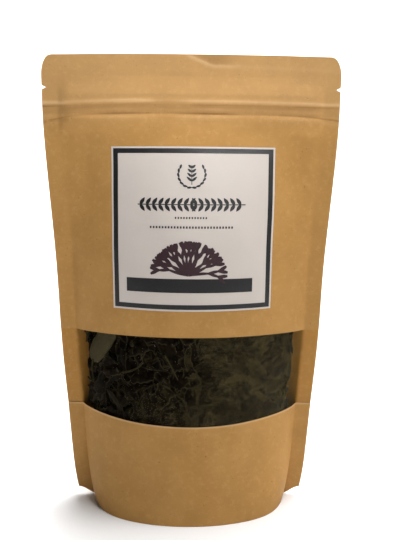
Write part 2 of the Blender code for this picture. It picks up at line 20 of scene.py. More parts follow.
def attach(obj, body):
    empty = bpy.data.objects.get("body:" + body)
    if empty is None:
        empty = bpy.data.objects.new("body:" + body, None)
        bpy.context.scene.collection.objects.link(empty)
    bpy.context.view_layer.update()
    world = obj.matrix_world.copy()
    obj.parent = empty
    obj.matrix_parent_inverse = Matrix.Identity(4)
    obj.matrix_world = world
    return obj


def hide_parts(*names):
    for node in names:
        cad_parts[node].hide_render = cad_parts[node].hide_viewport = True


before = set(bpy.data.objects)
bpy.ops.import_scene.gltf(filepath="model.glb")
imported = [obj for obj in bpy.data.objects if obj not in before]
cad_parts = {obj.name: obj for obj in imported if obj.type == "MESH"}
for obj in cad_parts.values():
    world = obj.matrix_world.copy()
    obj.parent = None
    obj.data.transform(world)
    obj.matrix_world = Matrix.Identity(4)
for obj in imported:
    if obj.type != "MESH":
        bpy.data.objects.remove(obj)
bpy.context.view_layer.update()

LOG = logging.getLogger("pouch")
BODY = "root"
MM = 0.001
Array = np.ndarray
Colour = tuple[float, float, float]
Range = tuple[float, float]
Edge = Callable[[Array], Array]
Materials = tuple[bpy.types.Material, ...]


class Side(Enum):
    """Which of the two large webs a place is on."""

    FRONT = -1.0
    BACK = 1.0


class PieceKind(Enum):
    """Ways in which a cut bit of dried frond has ended up."""

    PLATE = "plate"
    RIBBON = "ribbon"
    ROLL = "roll"
    FORK = "fork"
    CRUMB = "crumb"


def smoothstep(low: float, high: float, value: Array) -> Array:
    """Step softly from 0 to 1.

    Args:
        low: Value where the step starts.
        high: Value where it ends.
        value: Values to test.

    Returns:
        0 below low, 1 above high and a soft step between.
    """
    t = np.clip((np.asarray(value, float) - low) / (high - low), 0.0, 1.0)
    return t * t * (3 - 2 * t)


def bell(value: Array, middle: float, spread: float) -> Array:
    """Give a soft hump of height 1.

    Args:
        value: Values to test.
        middle: Where the hump is highest.
        spread: Its standard deviation.

    Returns:
        The hump's height at each value.
    """
    return np.exp(-(((value - middle) / spread) ** 2) / 2)


class Waves:
    """Soft seeded unevenness, made of plane waves with lengths in a band."""

    def __init__(self, seed: int, shortest: float, longest: float, count: int = 18) -> None:
        """Draw the waves.

        Args:
            seed: Seed of the random draws.
            shortest: Shortest wavelength in metres.
            longest: Longest wavelength in metres.
            count: Number of waves.
        """
        draw = np.random.default_rng(seed)
        length = np.exp(draw.uniform(math.log(shortest), math.log(longest), count))
        turn = draw.uniform(0, 2 * math.pi, count)
        self.pull = 2 * math.pi / length * np.array((np.cos(turn), np.sin(turn)))
        self.phase = draw.uniform(0, 2 * math.pi, count)
        self.share = length / length.sum()

    def __call__(self, u: Array, v: Array) -> Array:
        """Give the height of the waves.

        Args:
            u: Places across.
            v: Places up.

        Returns:
            Heights of about -1 to 1 in the shape of u.
        """
        u, v = np.broadcast_arrays(u, v)
        angle = u[..., None] * self.pull[0] + v[..., None] * self.pull[1] + self.phase
        return np.sin(angle) @ self.share * 2.2


@dataclass(frozen=True)
class PouchShape:
    """Form of the filled pouch, by the frame's formulas with rounder seals and slightly lower ears."""

    flat_width: float = 0.130
    flat_height: float = 0.210
    seal_width: float = 0.007
    corner_width: float = 0.0046
    corner_height: float = 0.0088
    ear_rise: float = 0.0040
    ear_start: float = 0.0570
    ear_end: float = 0.0645
    body_bulge: float = 0.0233
    bulge_power: float = 2.6
    base_flare: float = 0.0049
    flare_reach: float = 0.016
    waist_depth: float = 0.0023
    waist_height: float = 0.079
    waist_reach: float = 0.030
    waist_fade_power: float = 8.0
    corner_fullness: float = 0.0125
    corner_reach: float = 0.022
    seal_rounding: float = 0.0007
    side_drop: float = 0.0006
    side_drop_reach: float = 0.060
    top_seal: float = 0.009
    sealed_bulge: float = 0.00002
    zip_height: float = 0.187
    zip_half_gap: float = 0.0019
    zip_band: float = 0.006
    zip_crush_power: float = 16.0
    header_crush_power: float = 4.0
    crush_start: float = 0.012
    crush_end: float = 0.004
    notch_height: float = 0.196
    notch_depth: float = 0.0023
    notch_opening: float = 0.0022
    skirt_height: float = 0.006
    gusset_fold: float = 0.035
    gusset_half: float = 0.0563
    table_step: float = 0.0001
    arc_bounds: Range = (1e-6, 2.2)
    arc_halvings: int = 50
    header_softens: Range = (0.1925, 0.1990)
    corner_powers: tuple[int, int] = (2, 5)
    rounding_fades: Range = (0.165, 0.180)
    least_rounding: float = 1e-6
    seal_flattens: Range = (0.0006, -0.0016)
    side_fuses: Range = (-0.0045, 0.0002)
    top_fuses: Range = (-0.0075, 0.0010)

    @property
    def inner_half(self) -> float:
        """Half the width between the side seals."""
        return self.flat_width / 2 - self.seal_width

    def bulge(self, v: Array) -> Array:
        """Find how far a web's middle stands out.

        Args:
            v: Places up the web.

        Returns:
            Distances from the plane of the side seals.
        """
        closed_at = self.flat_height - self.top_seal
        closing = (closed_at - v) / (closed_at - self.zip_height - self.zip_band)
        above = np.maximum(self.zip_half_gap * np.minimum(closing, 1.0), self.sealed_bulge)
        share = np.minimum(v, self.zip_height) / self.zip_height
        body = self.body_bulge * (1 - share ** self.bulge_power)
        waist = self.waist_depth * np.exp(-((v - self.waist_height) / self.waist_reach) ** 2)
        body = body - waist * (1 - share ** self.waist_fade_power)
        below = body + self.base_flare * np.exp(-v / self.flare_reach) + self.zip_half_gap
        return np.where(v >= self.zip_height, above, below)

    @cached_property
    def tables(self) -> tuple[Array, Array, Array]:
        """Solve the arc and the height of a web's middle line.

        Returns:
            Places up the web, the arc's half angle at each, and the middle line's height there.
        """
        v = np.arange(0.0, self.flat_height + self.table_step, self.table_step)
        stand = self.bulge(v)
        low, high = (np.full_like(v, bound) for bound in self.arc_bounds)
        for _ in range(self.arc_halvings):
            middle = (low + high) / 2
            short = self.inner_half * (1 - np.cos(middle)) / middle < stand
            low, high = np.where(short, middle, low), np.where(short, high, middle)
        rise = np.diff(stand, prepend=stand[0])
        run = np.sqrt(np.maximum(self.table_step ** 2 - rise ** 2, 0.0))
        run[0] = 0.0
        return v, (low + high) / 2, np.cumsum(run)

    def half_angle(self, v: Array) -> Array:
        """Half angle of the arc that a web makes at each v."""
        return np.interp(v, self.tables[0], self.tables[1])

    def centre_height(self, v: Array) -> Array:
        """Height of a web's middle line above the floor at each v."""
        return np.interp(v, self.tables[0], self.tables[2])

    def point(self, u: Array, v: Array, side: Side) -> Array:
        """Find places on a web's lining.

        Args:
            u: Places across.
            v: Places up.
            side: Front or back web.

        Returns:
            Points, with x, y and z along the last axis.
        """
        angle_half = self.half_angle(v)
        radius = self.inner_half / angle_half
        inner = np.minimum(np.abs(u), self.inner_half)
        angle = angle_half * inner / self.inner_half
        out = radius * (np.cos(angle) - np.cos(angle_half))
        softer = (self.header_crush_power - self.zip_crush_power) * smoothstep(*self.header_softens, v)
        crushed = self.bulge(v) * (1 - (inner / self.inner_half) ** (self.zip_crush_power + softer))
        blend = smoothstep(self.zip_height - self.crush_start, self.zip_height - self.crush_end, v)
        out = out + (crushed - out) * blend
        share = inner / self.inner_half
        rise, fall = self.corner_powers
        fuller = self.corner_fullness * share ** rise * (1 - share ** fall)
        out = out + fuller * np.exp(-(v / self.corner_reach) ** 2)
        rounding = self.seal_rounding * (1 - smoothstep(*self.rounding_fades, v)) + self.least_rounding
        out = out * (1 - np.exp(-out / rounding))
        x = np.copysign(radius * np.sin(angle) + np.abs(u) - inner, u)
        drop = self.side_drop * smoothstep(0.0, self.side_drop_reach, v) * (inner / self.inner_half) ** 2
        return np.stack((x, side.value * out, self.centre_height(v) - drop), axis=-1)

    def normal(self, u: Array, v: Array, side: Side, step: float = 0.0004) -> Array:
        """Find the direction out of the pouch.

        Args:
            u: Places across.
            v: Places up.
            side: Front or back web.
            step: Distance over which the slope is taken.

        Returns:
            Unit vectors along the last axis.
        """
        across = self.point(u + step, v, side) - self.point(u - step, v, side)
        low, high = np.maximum(v - step, 0.0), np.minimum(v + step, self.flat_height)
        up = self.point(u, high, side) - self.point(u, low, side)
        out = np.cross(up, across) * side.value
        out /= np.linalg.norm(out, axis=-1, keepdims=True) + 1e-12
        flat = np.array((0.0, side.value, 0.0))
        start, end = (self.inner_half + beyond for beyond in self.seal_flattens)
        in_body = smoothstep(start, end, np.abs(u))[..., None]
        out = flat + (out - flat) * in_body
        return out / np.linalg.norm(out, axis=-1, keepdims=True)

    def half_width(self, v: Array) -> Array:
        """Find half the flat width, with the cut top corners and the tear notches.

        Args:
            v: Places up.

        Returns:
            Distances from the middle to the cut edge.
        """
        reach = np.clip((v - self.flat_height + self.corner_height) / self.corner_height, 0.0, 1.0)
        corner = self.corner_width * (1 - np.sqrt(1 - reach ** 2))
        away = np.abs(v - self.notch_height) / (self.notch_opening / 2)
        return self.flat_width / 2 - corner - self.notch_depth * np.clip(1 - away, 0.0, 1.0)

    def bottom_edge(self, u: Array) -> Array:
        """Bottom edge of a web: straight in the middle, raised in an S across the side seals."""
        return self.ear_rise * smoothstep(self.ear_start, self.ear_end, np.abs(u))

    def base_seal(self, u: Array) -> Array:
        """Upper edge of the seal between a web and the base, which arches up to the sides."""
        end = np.minimum(np.abs(u) / self.gusset_half, 1.0)
        return self.skirt_height + (self.gusset_fold - self.skirt_height) * end ** 3


SHAPE = PouchShape()


@dataclass(frozen=True)
class WebRelief:
    """Low relief of one paper web: zip lines, top-seal fold, hollows and soft crumple."""

    side: Side
    seed: int
    border_seed: int = 77
    zip_lines: tuple[tuple[float, float, float], ...] = (
        (0.1901, 0.00070, 0.00060),
        (0.1889, 0.00038, -0.00034),
        (0.1866, 0.00110, 0.00030),
        (0.1847, 0.00050, -0.00042),
        (0.1829, 0.00110, 0.00030),
    )
    line_wave: float = 0.00016
    line_wave_pull: float = 60.0
    line_wave_start: float = 0.6
    line_bow: float = 0.0006
    line_sags: Range = (0.0016, 0.0008)
    line_sag_power: int = 6
    line_sag_heights: Range = (0.1895, 0.1850)
    line_least: float = 0.78
    line_swing: float = 0.42
    crushed_share: float = 0.35
    crushed_from: Range = (0.054, 0.058)
    hollows: tuple[tuple[float, float, float, float, float], ...] = ()
    crumple: float = 0.00022
    cockle: float = 0.000035
    edge_wave: float = 0.00025
    waved_from: Range = (0.048, 0.062)
    still_from: Range = (0.050, 0.058)
    still_heights: Range = (0.176, 0.186)
    hollow_heights: Range = (0.168, 0.181)
    base_band: float = 0.012
    still_cockle: float = 0.35
    fold_start: float = -0.0035
    fold_turn: float = 0.0090
    fold_turn_height: float = 0.2052
    fold_end_height: float = 0.2042
    fold_soft: float = 0.0035
    fold_shown: float = 0.003
    fold_fades: Range = (0.008, 0.026)
    fold_faded: float = 0.75
    fold_lip: float = 0.00030
    fold_lip_width: float = 0.0008
    ripple: float = 0.00012
    ripple_pull: float = 900.0
    ripple_lean: float = 0.10
    ripple_place: Range = (0.004, 0.016)
    ripple_heights: Range = (0.199, 0.204)
    ripple_start: float = 0.2
    shade_step: Range = (0.0002, 0.0012)
    shade_fades: Range = (0.012, 0.030)
    least_room: float = 0.6

    @cached_property
    def soft(self) -> Waves:
        """Long waves of the web, the same on every layer of a side."""
        return Waves(self.seed, 0.018, 0.055)

    @cached_property
    def fine(self) -> Waves:
        """Short waves of the web."""
        return Waves(self.seed + 1, 0.0035, 0.009, 26)

    @cached_property
    def border(self) -> Waves:
        """Waves that both webs follow together along the side seals."""
        return Waves(self.border_seed, 0.030, 0.080, 8)

    @cached_property
    def uneven(self) -> Waves:
        """Waves by which the zip's lines come and go along the pouch."""
        return Waves(self.seed + 2, 0.010, 0.045, 14)

    def zip_creases(self, u: Array, v: Array) -> Array:
        """Find the height of the lines that the zip presses into the paper, out to the cut edges.

        Args:
            u: Places across.
            v: Places up.

        Returns:
            Heights outwards, below zero in a crease.
        """
        wave = self.line_wave * np.sin(u * self.line_wave_pull + self.line_wave_start)
        bend = wave + self.line_bow * (u / SHAPE.inner_half) ** 2
        sag = np.where(u < 0, *self.line_sags) * (u / SHAPE.inner_half) ** self.line_sag_power
        height = 0.0
        for place, spread, size in self.zip_lines:
            lower = float(smoothstep(*self.line_sag_heights, np.array(place)))
            height = height + size * bell(v + bend + sag * lower, place, spread)
        return height * (self.line_least + self.line_swing * self.uneven(u, v * 3))

    def zip_marks(self, u: Array, v: Array) -> Array:
        """Height of the zip's lines, pressed flatter in the side seals."""
        crushed = 1 - (1 - self.crushed_share) * smoothstep(*self.crushed_from, np.abs(u))
        return self.zip_creases(u, v) * crushed

    def fold_line(self, u: Array) -> tuple[Array, Array]:
        """Find the shallow fold that runs into the top seal.

        Args:
            u: Places across.

        Returns:
            The fold's place up at each u, and how much of it shows there.
        """
        fall = SHAPE.flat_height - self.fold_turn_height
        first = SHAPE.flat_height - fall * (u - self.fold_start) / (self.fold_turn - self.fold_start)
        climb = self.fold_end_height - self.fold_turn_height
        second = self.fold_turn_height + climb * (u - self.fold_turn) / (SHAPE.inner_half - self.fold_turn)
        turned = smoothstep(self.fold_turn - self.fold_soft, self.fold_turn + self.fold_soft, u)
        shown = smoothstep(self.fold_start, self.fold_start + self.fold_shown, u)
        faded = 1 - self.fold_faded * smoothstep(*self.fold_fades, u)
        return first + (second - first) * turned, shown * faded

    def fold_mark(self, u: Array, v: Array) -> Array:
        """Find the height of the fold's lip, with the small ripples beside it.

        Args:
            u: Places across.
            v: Places up.

        Returns:
            Heights outwards.
        """
        line, shown = self.fold_line(u)
        ripple = self.ripple * np.sin((v - self.ripple_start + self.ripple_lean * u) * self.ripple_pull)
        ripple = ripple * bell(u, *self.ripple_place) * smoothstep(*self.ripple_heights, v)
        return bell(v, line, self.fold_lip_width) * self.fold_lip * shown + ripple

    def fold_shade(self, u: Array, v: Array) -> Array:
        """Painted shade in the fold's hollow above the fold line, from 0 to 1."""
        line, shown = self.fold_line(u)
        return smoothstep(*self.shade_step, v - line) * shown * (1 - smoothstep(*self.shade_fades, u))

    def __call__(self, u: Array, v: Array) -> Array:
        """Give how far the web stands out from its plain form.

        Args:
            u: Places across.
            v: Places up.

        Returns:
            Distances in metres, outwards.
        """
        u, v = np.broadcast_arrays(np.asarray(u, float), np.asarray(v, float))
        free = 1 - smoothstep(*self.still_from, np.abs(u))
        free = free * (1 - smoothstep(*self.still_heights, v)) * smoothstep(0.0, self.base_band, v)
        cockled = self.still_cockle + (1 - self.still_cockle) * free
        height = self.crumple * self.soft(u, v) * free + self.cockle * self.fine(u, v) * cockled
        below_zip = 1 - smoothstep(*self.hollow_heights, v)
        for middle_u, middle_v, spread_u, spread_v, depth in self.hollows:
            height = height - depth * bell(u, middle_u, spread_u) * bell(v, middle_v, spread_v) * below_zip
        height = height + self.zip_marks(u, v)
        if self.side is Side.FRONT:
            height = height + self.fold_mark(u, v)
        height = np.maximum(height, -self.least_room * np.abs(SHAPE.point(u, v, self.side)[..., 1]))
        wave = self.edge_wave * self.border(np.sign(u), v) * smoothstep(*self.waved_from, np.abs(u))
        return height + self.side.value * wave


@dataclass(frozen=True)
class Web:
    """One large web with its relief, on which sheets and marks are placed."""

    side: Side
    relief: WebRelief

    def place(self, u: Array, v: Array, lift: Array) -> Array:
        """Find points at a distance outside the web's lining.

        Args:
            u: Places across.
            v: Places up.
            lift: Distances outwards, or inwards where below zero.

        Returns:
            Points along the last axis.
        """
        height = np.asarray(lift) + self.relief(u, v)
        return SHAPE.point(u, v, self.side) + SHAPE.normal(u, v, self.side) * height[..., None]


FRONT_WEB = Web(Side.FRONT, WebRelief(Side.FRONT, 11, hollows=(
    (-0.0480, 0.155, 0.0070, 0.018, 0.0020),
    (0.0520, 0.160, 0.0055, 0.013, 0.0017),
    (-0.0300, 0.164, 0.0060, 0.007, 0.0004),
    (0.0380, 0.150, 0.0050, 0.016, -0.0005),
)))
BACK_WEB = Web(Side.BACK, WebRelief(Side.BACK, 23, hollows=(
    (0.046, 0.150, 0.010, 0.024, 0.0016),
    (-0.050, 0.158, 0.008, 0.018, 0.0014),
    (0.005, 0.120, 0.020, 0.010, 0.0006),
)))


def sealed(u: Array, v: Array) -> Array:
    """Find where the layers are fused by the side and top seals.

    Args:
        u: Places across.
        v: Places up.

    Returns:
        1 in the seals, 0 in the body, with a soft step between.
    """
    side = smoothstep(*(SHAPE.inner_half + beyond for beyond in SHAPE.side_fuses), np.abs(u))
    closed_at = SHAPE.flat_height - SHAPE.top_seal
    return np.maximum(side, smoothstep(*(closed_at + beyond for beyond in SHAPE.top_fuses), v))


# Meshes


@lru_cache(maxsize=None)
def sheet_faces(rows: int, columns: int) -> tuple[Array, Array]:
    """List the faces of a closed thin sheet.

    Args:
        rows: Points up the grid.
        columns: Points across the grid.

    Returns:
        Faces as rows of four point numbers, and for each 0 outside, 1 inside or 2 on the cut edge.
    """
    index = np.arange(rows * columns).reshape(rows, columns)
    corners = (index[:-1, :-1], index[:-1, 1:], index[1:, 1:], index[1:, :-1])
    outer = np.stack(corners, axis=-1).reshape(-1, 4)
    inner = outer[:, ::-1] + rows * columns
    loop = np.concatenate((index[0, :-1], index[:-1, -1], index[-1, :0:-1], index[:0:-1, 0]))
    after = np.roll(loop, -1)
    rim = np.stack((after, loop, loop + rows * columns, after + rows * columns), axis=-1)
    faces = np.concatenate((outer, inner, rim))
    part = np.repeat((0, 1, 2), (len(outer), len(inner), len(rim)))
    return faces, part


@lru_cache(maxsize=None)
def tube_faces(rings: int, around: int) -> Array:
    """List the faces of a tube closed at both ends by a point.

    Args:
        rings: Rings along the tube.
        around: Points in each ring.

    Returns:
        Faces as rows of four point numbers, the end points last, with triangles' last number repeated.
    """
    index = np.arange(rings * around).reshape(rings, around)
    turned = np.roll(index, -1, axis=1)
    sides = np.stack((index[:-1], turned[:-1], turned[1:], index[1:]), axis=-1).reshape(-1, 4)
    first, last = rings * around, rings * around + 1
    start = np.stack((turned[0], index[0], np.full(around, first), np.full(around, first)), axis=-1)
    end = np.stack((index[-1], turned[-1], np.full(around, last), np.full(around, last)), axis=-1)
    return np.concatenate((sides, start, end))


class MeshBatch:
    """Closed thin solids, gathered into the mesh of one piece."""

    def __init__(self, mark_names: tuple[str, ...] = ()) -> None:
        """Start empty.

        Args:
            mark_names: Names of the numbers kept for each point.
        """
        self.points: list[Array] = []
        self.faces: list[Array] = []
        self.parts: list[Array] = []
        self.marks: dict[str, list[Array]] = {name: [] for name in mark_names}
        self.count = 0

    def add(self, points: Array, faces: Array, parts: Array, **marks: Array) -> None:
        """Add one closed solid.

        Args:
            points: Its points, one a row.
            faces: Its faces, as rows of four point numbers.
            parts: The material number of each face.
            **marks: A number, or one for each point, for every mark name.
        """
        self.points.append(points)
        self.faces.append(faces + self.count)
        self.parts.append(parts)
        for name, kept in self.marks.items():
            kept.append(np.broadcast_to(np.asarray(marks[name], float).reshape(-1), (len(points),)))
        self.count += len(points)

    def add_sheet(self, outer: Array, inner: Array, **marks: Array) -> None:
        """Add a closed thin sheet.

        Args:
            outer: Points of its outer face, as a grid.
            inner: Points of its inner face, as the same grid.
            **marks: A number, or a grid of them, for every mark name.
        """
        rows, columns = outer.shape[:2]
        faces, parts = sheet_faces(rows, columns)
        spread = {}
        for name, mark in marks.items():
            grid = np.broadcast_to(mark, (rows, columns)).reshape(-1)
            spread[name] = np.concatenate((grid, grid))
        self.add(np.concatenate((outer.reshape(-1, 3), inner.reshape(-1, 3))), faces, parts, **spread)

    def add_tube(self, rings: Array, ends: Array, **marks: Array) -> None:
        """Add a tube.

        Args:
            rings: Points of its rings, as a grid.
            ends: Its two end points.
            **marks: A number for every mark name.
        """
        faces = tube_faces(*rings.shape[:2])
        self.add(np.concatenate((rings.reshape(-1, 3), ends)), faces, np.zeros(len(faces), int), **marks)

    def volume(self, points: Array, faces: Array) -> float:
        """Find the signed volume inside closed faces.

        Args:
            points: Points, one a row.
            faces: Faces, as rows of four point numbers.

        Returns:
            The volume, below zero where the faces point inwards.
        """
        a, b, c, d = (points[faces[:, k]] for k in range(4))
        twice = np.einsum("ij,ij->i", a, np.cross(b, c)) + np.einsum("ij,ij->i", a, np.cross(c, d))
        return float(twice.sum() / 6)

    def build(self, name: str, materials: Materials, sharp: float = 50.0) -> bpy.types.Object:
        """Make the piece.

        Args:
            name: Its name.
            materials: Its materials, in the order of the faces' material numbers.
            sharp: Angle in degrees over which an edge is sharp.

        Returns:
            The new object, linked to the scene.
        """
        points, faces = np.concatenate(self.points), np.concatenate(self.faces)
        if self.volume(points, faces) < 0:
            faces = faces[:, ::-1]
        whole = [tuple(dict.fromkeys(face)) for face in faces.tolist()]
        mesh = bpy.data.meshes.new(name)
        mesh.from_pydata(points.tolist(), [], whole)
        mesh.polygons.foreach_set("material_index", np.concatenate(self.parts).astype(np.int32))
        for mark, kept in self.marks.items():
            layer = mesh.attributes.new(mark, "FLOAT", "POINT")
            layer.data.foreach_set("value", np.concatenate(kept).astype(np.float32))
        for material in materials:
            mesh.materials.append(material)
        mesh.shade_smooth()
        mesh.set_sharp_from_angle(angle=math.radians(sharp))
        thing = bpy.data.objects.new(name, mesh)
        bpy.context.scene.collection.objects.link(thing)
        return thing


def settle(thing: bpy.types.Object, slot: str, *nodes: str) -> bpy.types.Object:
    """Give a piece its body, and hide the solids that it stands for.

    Args:
        thing: The piece.
        slot: Not used.
        *nodes: Names of the solids that it replaces.

    Returns:
        The same piece.
    """
    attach(thing, BODY)
    if nodes:
        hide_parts(*nodes)
    LOG.info("%s: %d faces", thing.name, len(thing.data.polygons))
    return thing


# Finishes


class NodeDraft:
    """Short way to write a material's nodes."""

    def __init__(self, name: str) -> None:
        """Start a material with its Principled shader alone.

        Args:
            name: The material's name.
        """
        self.material = bpy.data.materials.new(name)
        self.material.use_nodes = True
        self.tree = self.material.node_tree
        self.shader = self.tree.nodes["Principled BSDF"]

    def add(self, kind: str, inputs: dict[str | int, object] | None = None,
            **settings: object) -> bpy.types.Node:
        """Add a node.

        Args:
            kind: Its type, without the leading ShaderNode.
            inputs: Values or sockets for its inputs, by name or number.
            **settings: Its own properties.

        Returns:
            The new node.
        """
        node = self.tree.nodes.new("ShaderNode" + kind)
        for name, value in settings.items():
            setattr(node, name, value)
        for name, value in (inputs or {}).items():
            self.feed(node.inputs[name], value)
        return node

    def feed(self, socket: bpy.types.NodeSocket, value: object) -> None:
        """Link a socket to an input, or set the input's own value.

        Args:
            socket: The input.
            value: A socket to link, or a value to set.
        """
        if isinstance(value, bpy.types.NodeSocket):
            self.tree.links.new(value, socket)
        else:
            socket.default_value = value

    def place(self, scale: tuple[float, float, float] = (1.0, 1.0, 1.0),
              turn: float = 0.0) -> bpy.types.NodeSocket:
        """Find a point's place on the object.

        Args:
            scale: Stretch along each axis.
            turn: Turn about the depth axis.

        Returns:
            The object's coordinates, stretched and turned.
        """
        where = self.add("TexCoord").outputs["Object"]
        turned = self.add("Mapping", {"Vector": where, "Rotation": (0.0, turn, 0.0), "Scale": scale})
        return turned.outputs["Vector"]

    def noise(self, where: bpy.types.NodeSocket, scale: float, detail: float = 2.0, rough: float = 0.5,
              warp: float = 0.0) -> bpy.types.NodeSocket:
        """Noise from 0 to 1.

        Args:
            where: Coordinates.
            scale: Waves in a metre.
            detail: Octaves added.
            rough: Strength of each next octave.
            warp: Distortion.

        Returns:
            The noise's value.
        """
        node = self.add("TexNoise", {"Vector": where, "Scale": scale, "Detail": detail, "Roughness": rough,
                                     "Distortion": warp})
        return node.outputs["Fac"]

    def ramp(self, value: bpy.types.NodeSocket, low: float, high: float, start: float = 0.0,
             end: float = 1.0) -> bpy.types.NodeSocket:
        """Stretch a range of values to another, and cut off what is outside."""
        limits = {0: value, 1: low, 2: high, 3: start, 4: end}
        return self.add("MapRange", limits, interpolation_type="SMOOTHSTEP").outputs[0]

    def mix(self, share: object, first: object, second: object, blend: str = "MIX") -> bpy.types.NodeSocket:
        """Mix two colours.

        Args:
            share: Share of the second.
            first: First colour.
            second: Second colour.
            blend: Blend mode.

        Returns:
            The mixed colour.
        """
        node = self.add("Mix", data_type="RGBA", blend_type=blend)
        self.feed(node.inputs[0], share)
        for number, colour in ((6, first), (7, second)):
            self.feed(node.inputs[number], (*colour, 1.0) if isinstance(colour, tuple) else colour)
        return node.outputs[2]

    def maths(self, operation: str, first: object, second: object = 0.0) -> bpy.types.NodeSocket:
        """Join two values by an operation."""
        return self.add("Math", {0: first, 1: second}, operation=operation).outputs[0]

    def mark(self, name: str) -> bpy.types.NodeSocket:
        """Number kept for each point of the mesh under a name."""
        return self.add("Attribute", attribute_name=name).outputs["Fac"]

    def bump(self, height: bpy.types.NodeSocket, strength: float, distance: float,
             under: bpy.types.NodeSocket | None = None) -> bpy.types.NodeSocket:
        """Bump the surface by a height.

        Args:
            height: The height, from 0 to 1.
            strength: Share of the bump that counts.
            distance: Height in metres that 1 stands for.
            under: Normal of an earlier bump.

        Returns:
            The bumped normal.
        """
        node = self.add("Bump", {"Height": height, "Strength": strength, "Distance": distance})
        if under is not None:
            self.feed(node.inputs["Normal"], under)
        return node.outputs["Normal"]

    def finish(self, **inputs: object) -> bpy.types.Material:
        """Feed the shader.

        Args:
            **inputs: Values or sockets, by the shader's input names with underscores for spaces.

        Returns:
            The finished material.
        """
        for name, value in inputs.items():
            self.feed(self.shader.inputs[name.replace("_", " ")], value)
        return self.material


@dataclass(frozen=True)
class KraftFinish:
    """Uncoated brown kraft paper: fibres both ways, flecks and cloudy pulp, paler where worn and with
    painted highlights and painted light, darker with painted shade in creases.
    """

    name: str
    colour: Colour = (0.49, 0.264, 0.080)
    dark: Colour = (0.345, 0.172, 0.046)
    pale: Colour = (0.64, 0.385, 0.150)
    fleck: Colour = (0.20, 0.095, 0.030)
    # Pale kraft for worn places, painted highlights and the painted light on the header.
    worn_and_lit: Colour = (0.80, 0.55, 0.30)
    # Dark kraft for the painted shade in creases and in the fold's hollow.
    creased: Colour = (0.16, 0.070, 0.022)
    roughness: float = 0.66
    gloss: float = 0.14
    coat: float = 0.0

    def build(self) -> bpy.types.Material:
        """Write the nodes.

        Returns:
            The material.
        """
        draft = NodeDraft(self.name)
        plain = draft.place()
        cloud = draft.noise(plain, 55, 4, 0.6)
        pulp = draft.noise(plain, 420, 5, 0.7)
        lengthwise = draft.noise(draft.place((260, 1500, 2400), 0.10), 1.0, 4, 0.65, 0.6)
        crosswise = draft.noise(draft.place((2100, 1500, 330), -0.15), 1.0, 4, 0.65, 0.6)
        colour = draft.mix(draft.ramp(cloud, 0.32, 0.70, 0.0, 0.38), self.colour, self.dark)
        colour = draft.mix(draft.ramp(pulp, 0.48, 0.72, 0.0, 0.30), colour, self.pale)
        colour = draft.mix(draft.ramp(lengthwise, 0.60, 0.74, 0.0, 0.34), colour, self.pale)
        colour = draft.mix(draft.ramp(crosswise, 0.61, 0.76, 0.0, 0.36), colour, self.dark)
        flecks = draft.ramp(draft.noise(plain, 1150, 1, 0.4), 0.73, 0.79, 0.0, 0.55)
        colour = draft.mix(flecks, colour, self.fleck)
        # Paler where worn, with painted highlights on crests and the fold's lip and painted light on the
        # header.
        colour = draft.mix(draft.maths("MULTIPLY", draft.mark("wear"), 0.55), colour, self.worn_and_lit)
        # Painted shade in the zip's creases, across the zip band and in the fold's hollow, by the crease
        # mark.
        colour = draft.mix(draft.maths("MULTIPLY", draft.mark("crease"), 0.70), colour, self.creased)
        height = draft.maths("ADD", lengthwise, draft.maths("MULTIPLY", crosswise, 0.8))
        normal = draft.bump(pulp, 0.25, 0.00010)
        normal = draft.bump(height, 0.35, 0.00006, normal)
        rough = draft.ramp(pulp, 0.3, 0.7, self.roughness - 0.05, self.roughness + 0.09)
        return draft.finish(Base_Color=colour, Roughness=rough, Normal=normal,
                            Specular_IOR_Level=self.gloss, Coat_Weight=self.coat, Coat_Roughness=0.22)


@dataclass(frozen=True)
class FilmFinish:
    """Clear strip film with faint dust and a painted reflection, a milky bloom in its colour and alpha,
    strongest over the right of the window.
    """

    # Colours of the film's faint haze and of the painted reflection on it.
    haze_and_reflection: Colour = (0.38, 0.28, 0.085)
    thin_haze_and_reflection: Colour = (0.32, 0.25, 0.085)
    least: float = 0.0005
    most: float = 0.025

    def build(self) -> bpy.types.Material:
        """Write the nodes.

        Returns:
            The material.
        """
        draft = NodeDraft("clear_film")
        plain = draft.place()
        patches = draft.noise(plain, 70, 4, 0.6, 0.4)
        dust = draft.noise(plain, 900, 3, 0.6)
        # Painted reflection: the film's colour and alpha grow milky where this mark is high, with faint
        # dust specks besides.
        cling = draft.mark("cling")
        share = draft.maths("MULTIPLY", cling, draft.ramp(patches, 0.25, 0.75, 0.6, 1.15))
        share = draft.maths("ADD", share, draft.ramp(dust, 0.66, 0.80, 0.0, 0.06))
        alpha = draft.ramp(share, 0.0, 1.0, self.least, self.most)
        colour = draft.mix(draft.ramp(patches, 0.3, 0.7), self.haze_and_reflection, self.thin_haze_and_reflection)
        normal = draft.bump(draft.noise(plain, 160, 3, 0.5, 0.8), 0.12, 0.0004)
        return draft.finish(Base_Color=colour, Alpha=alpha, Roughness=0.16, Normal=normal,
                            Specular_IOR_Level=0.5, Coat_Weight=0.6, Coat_Roughness=0.06)


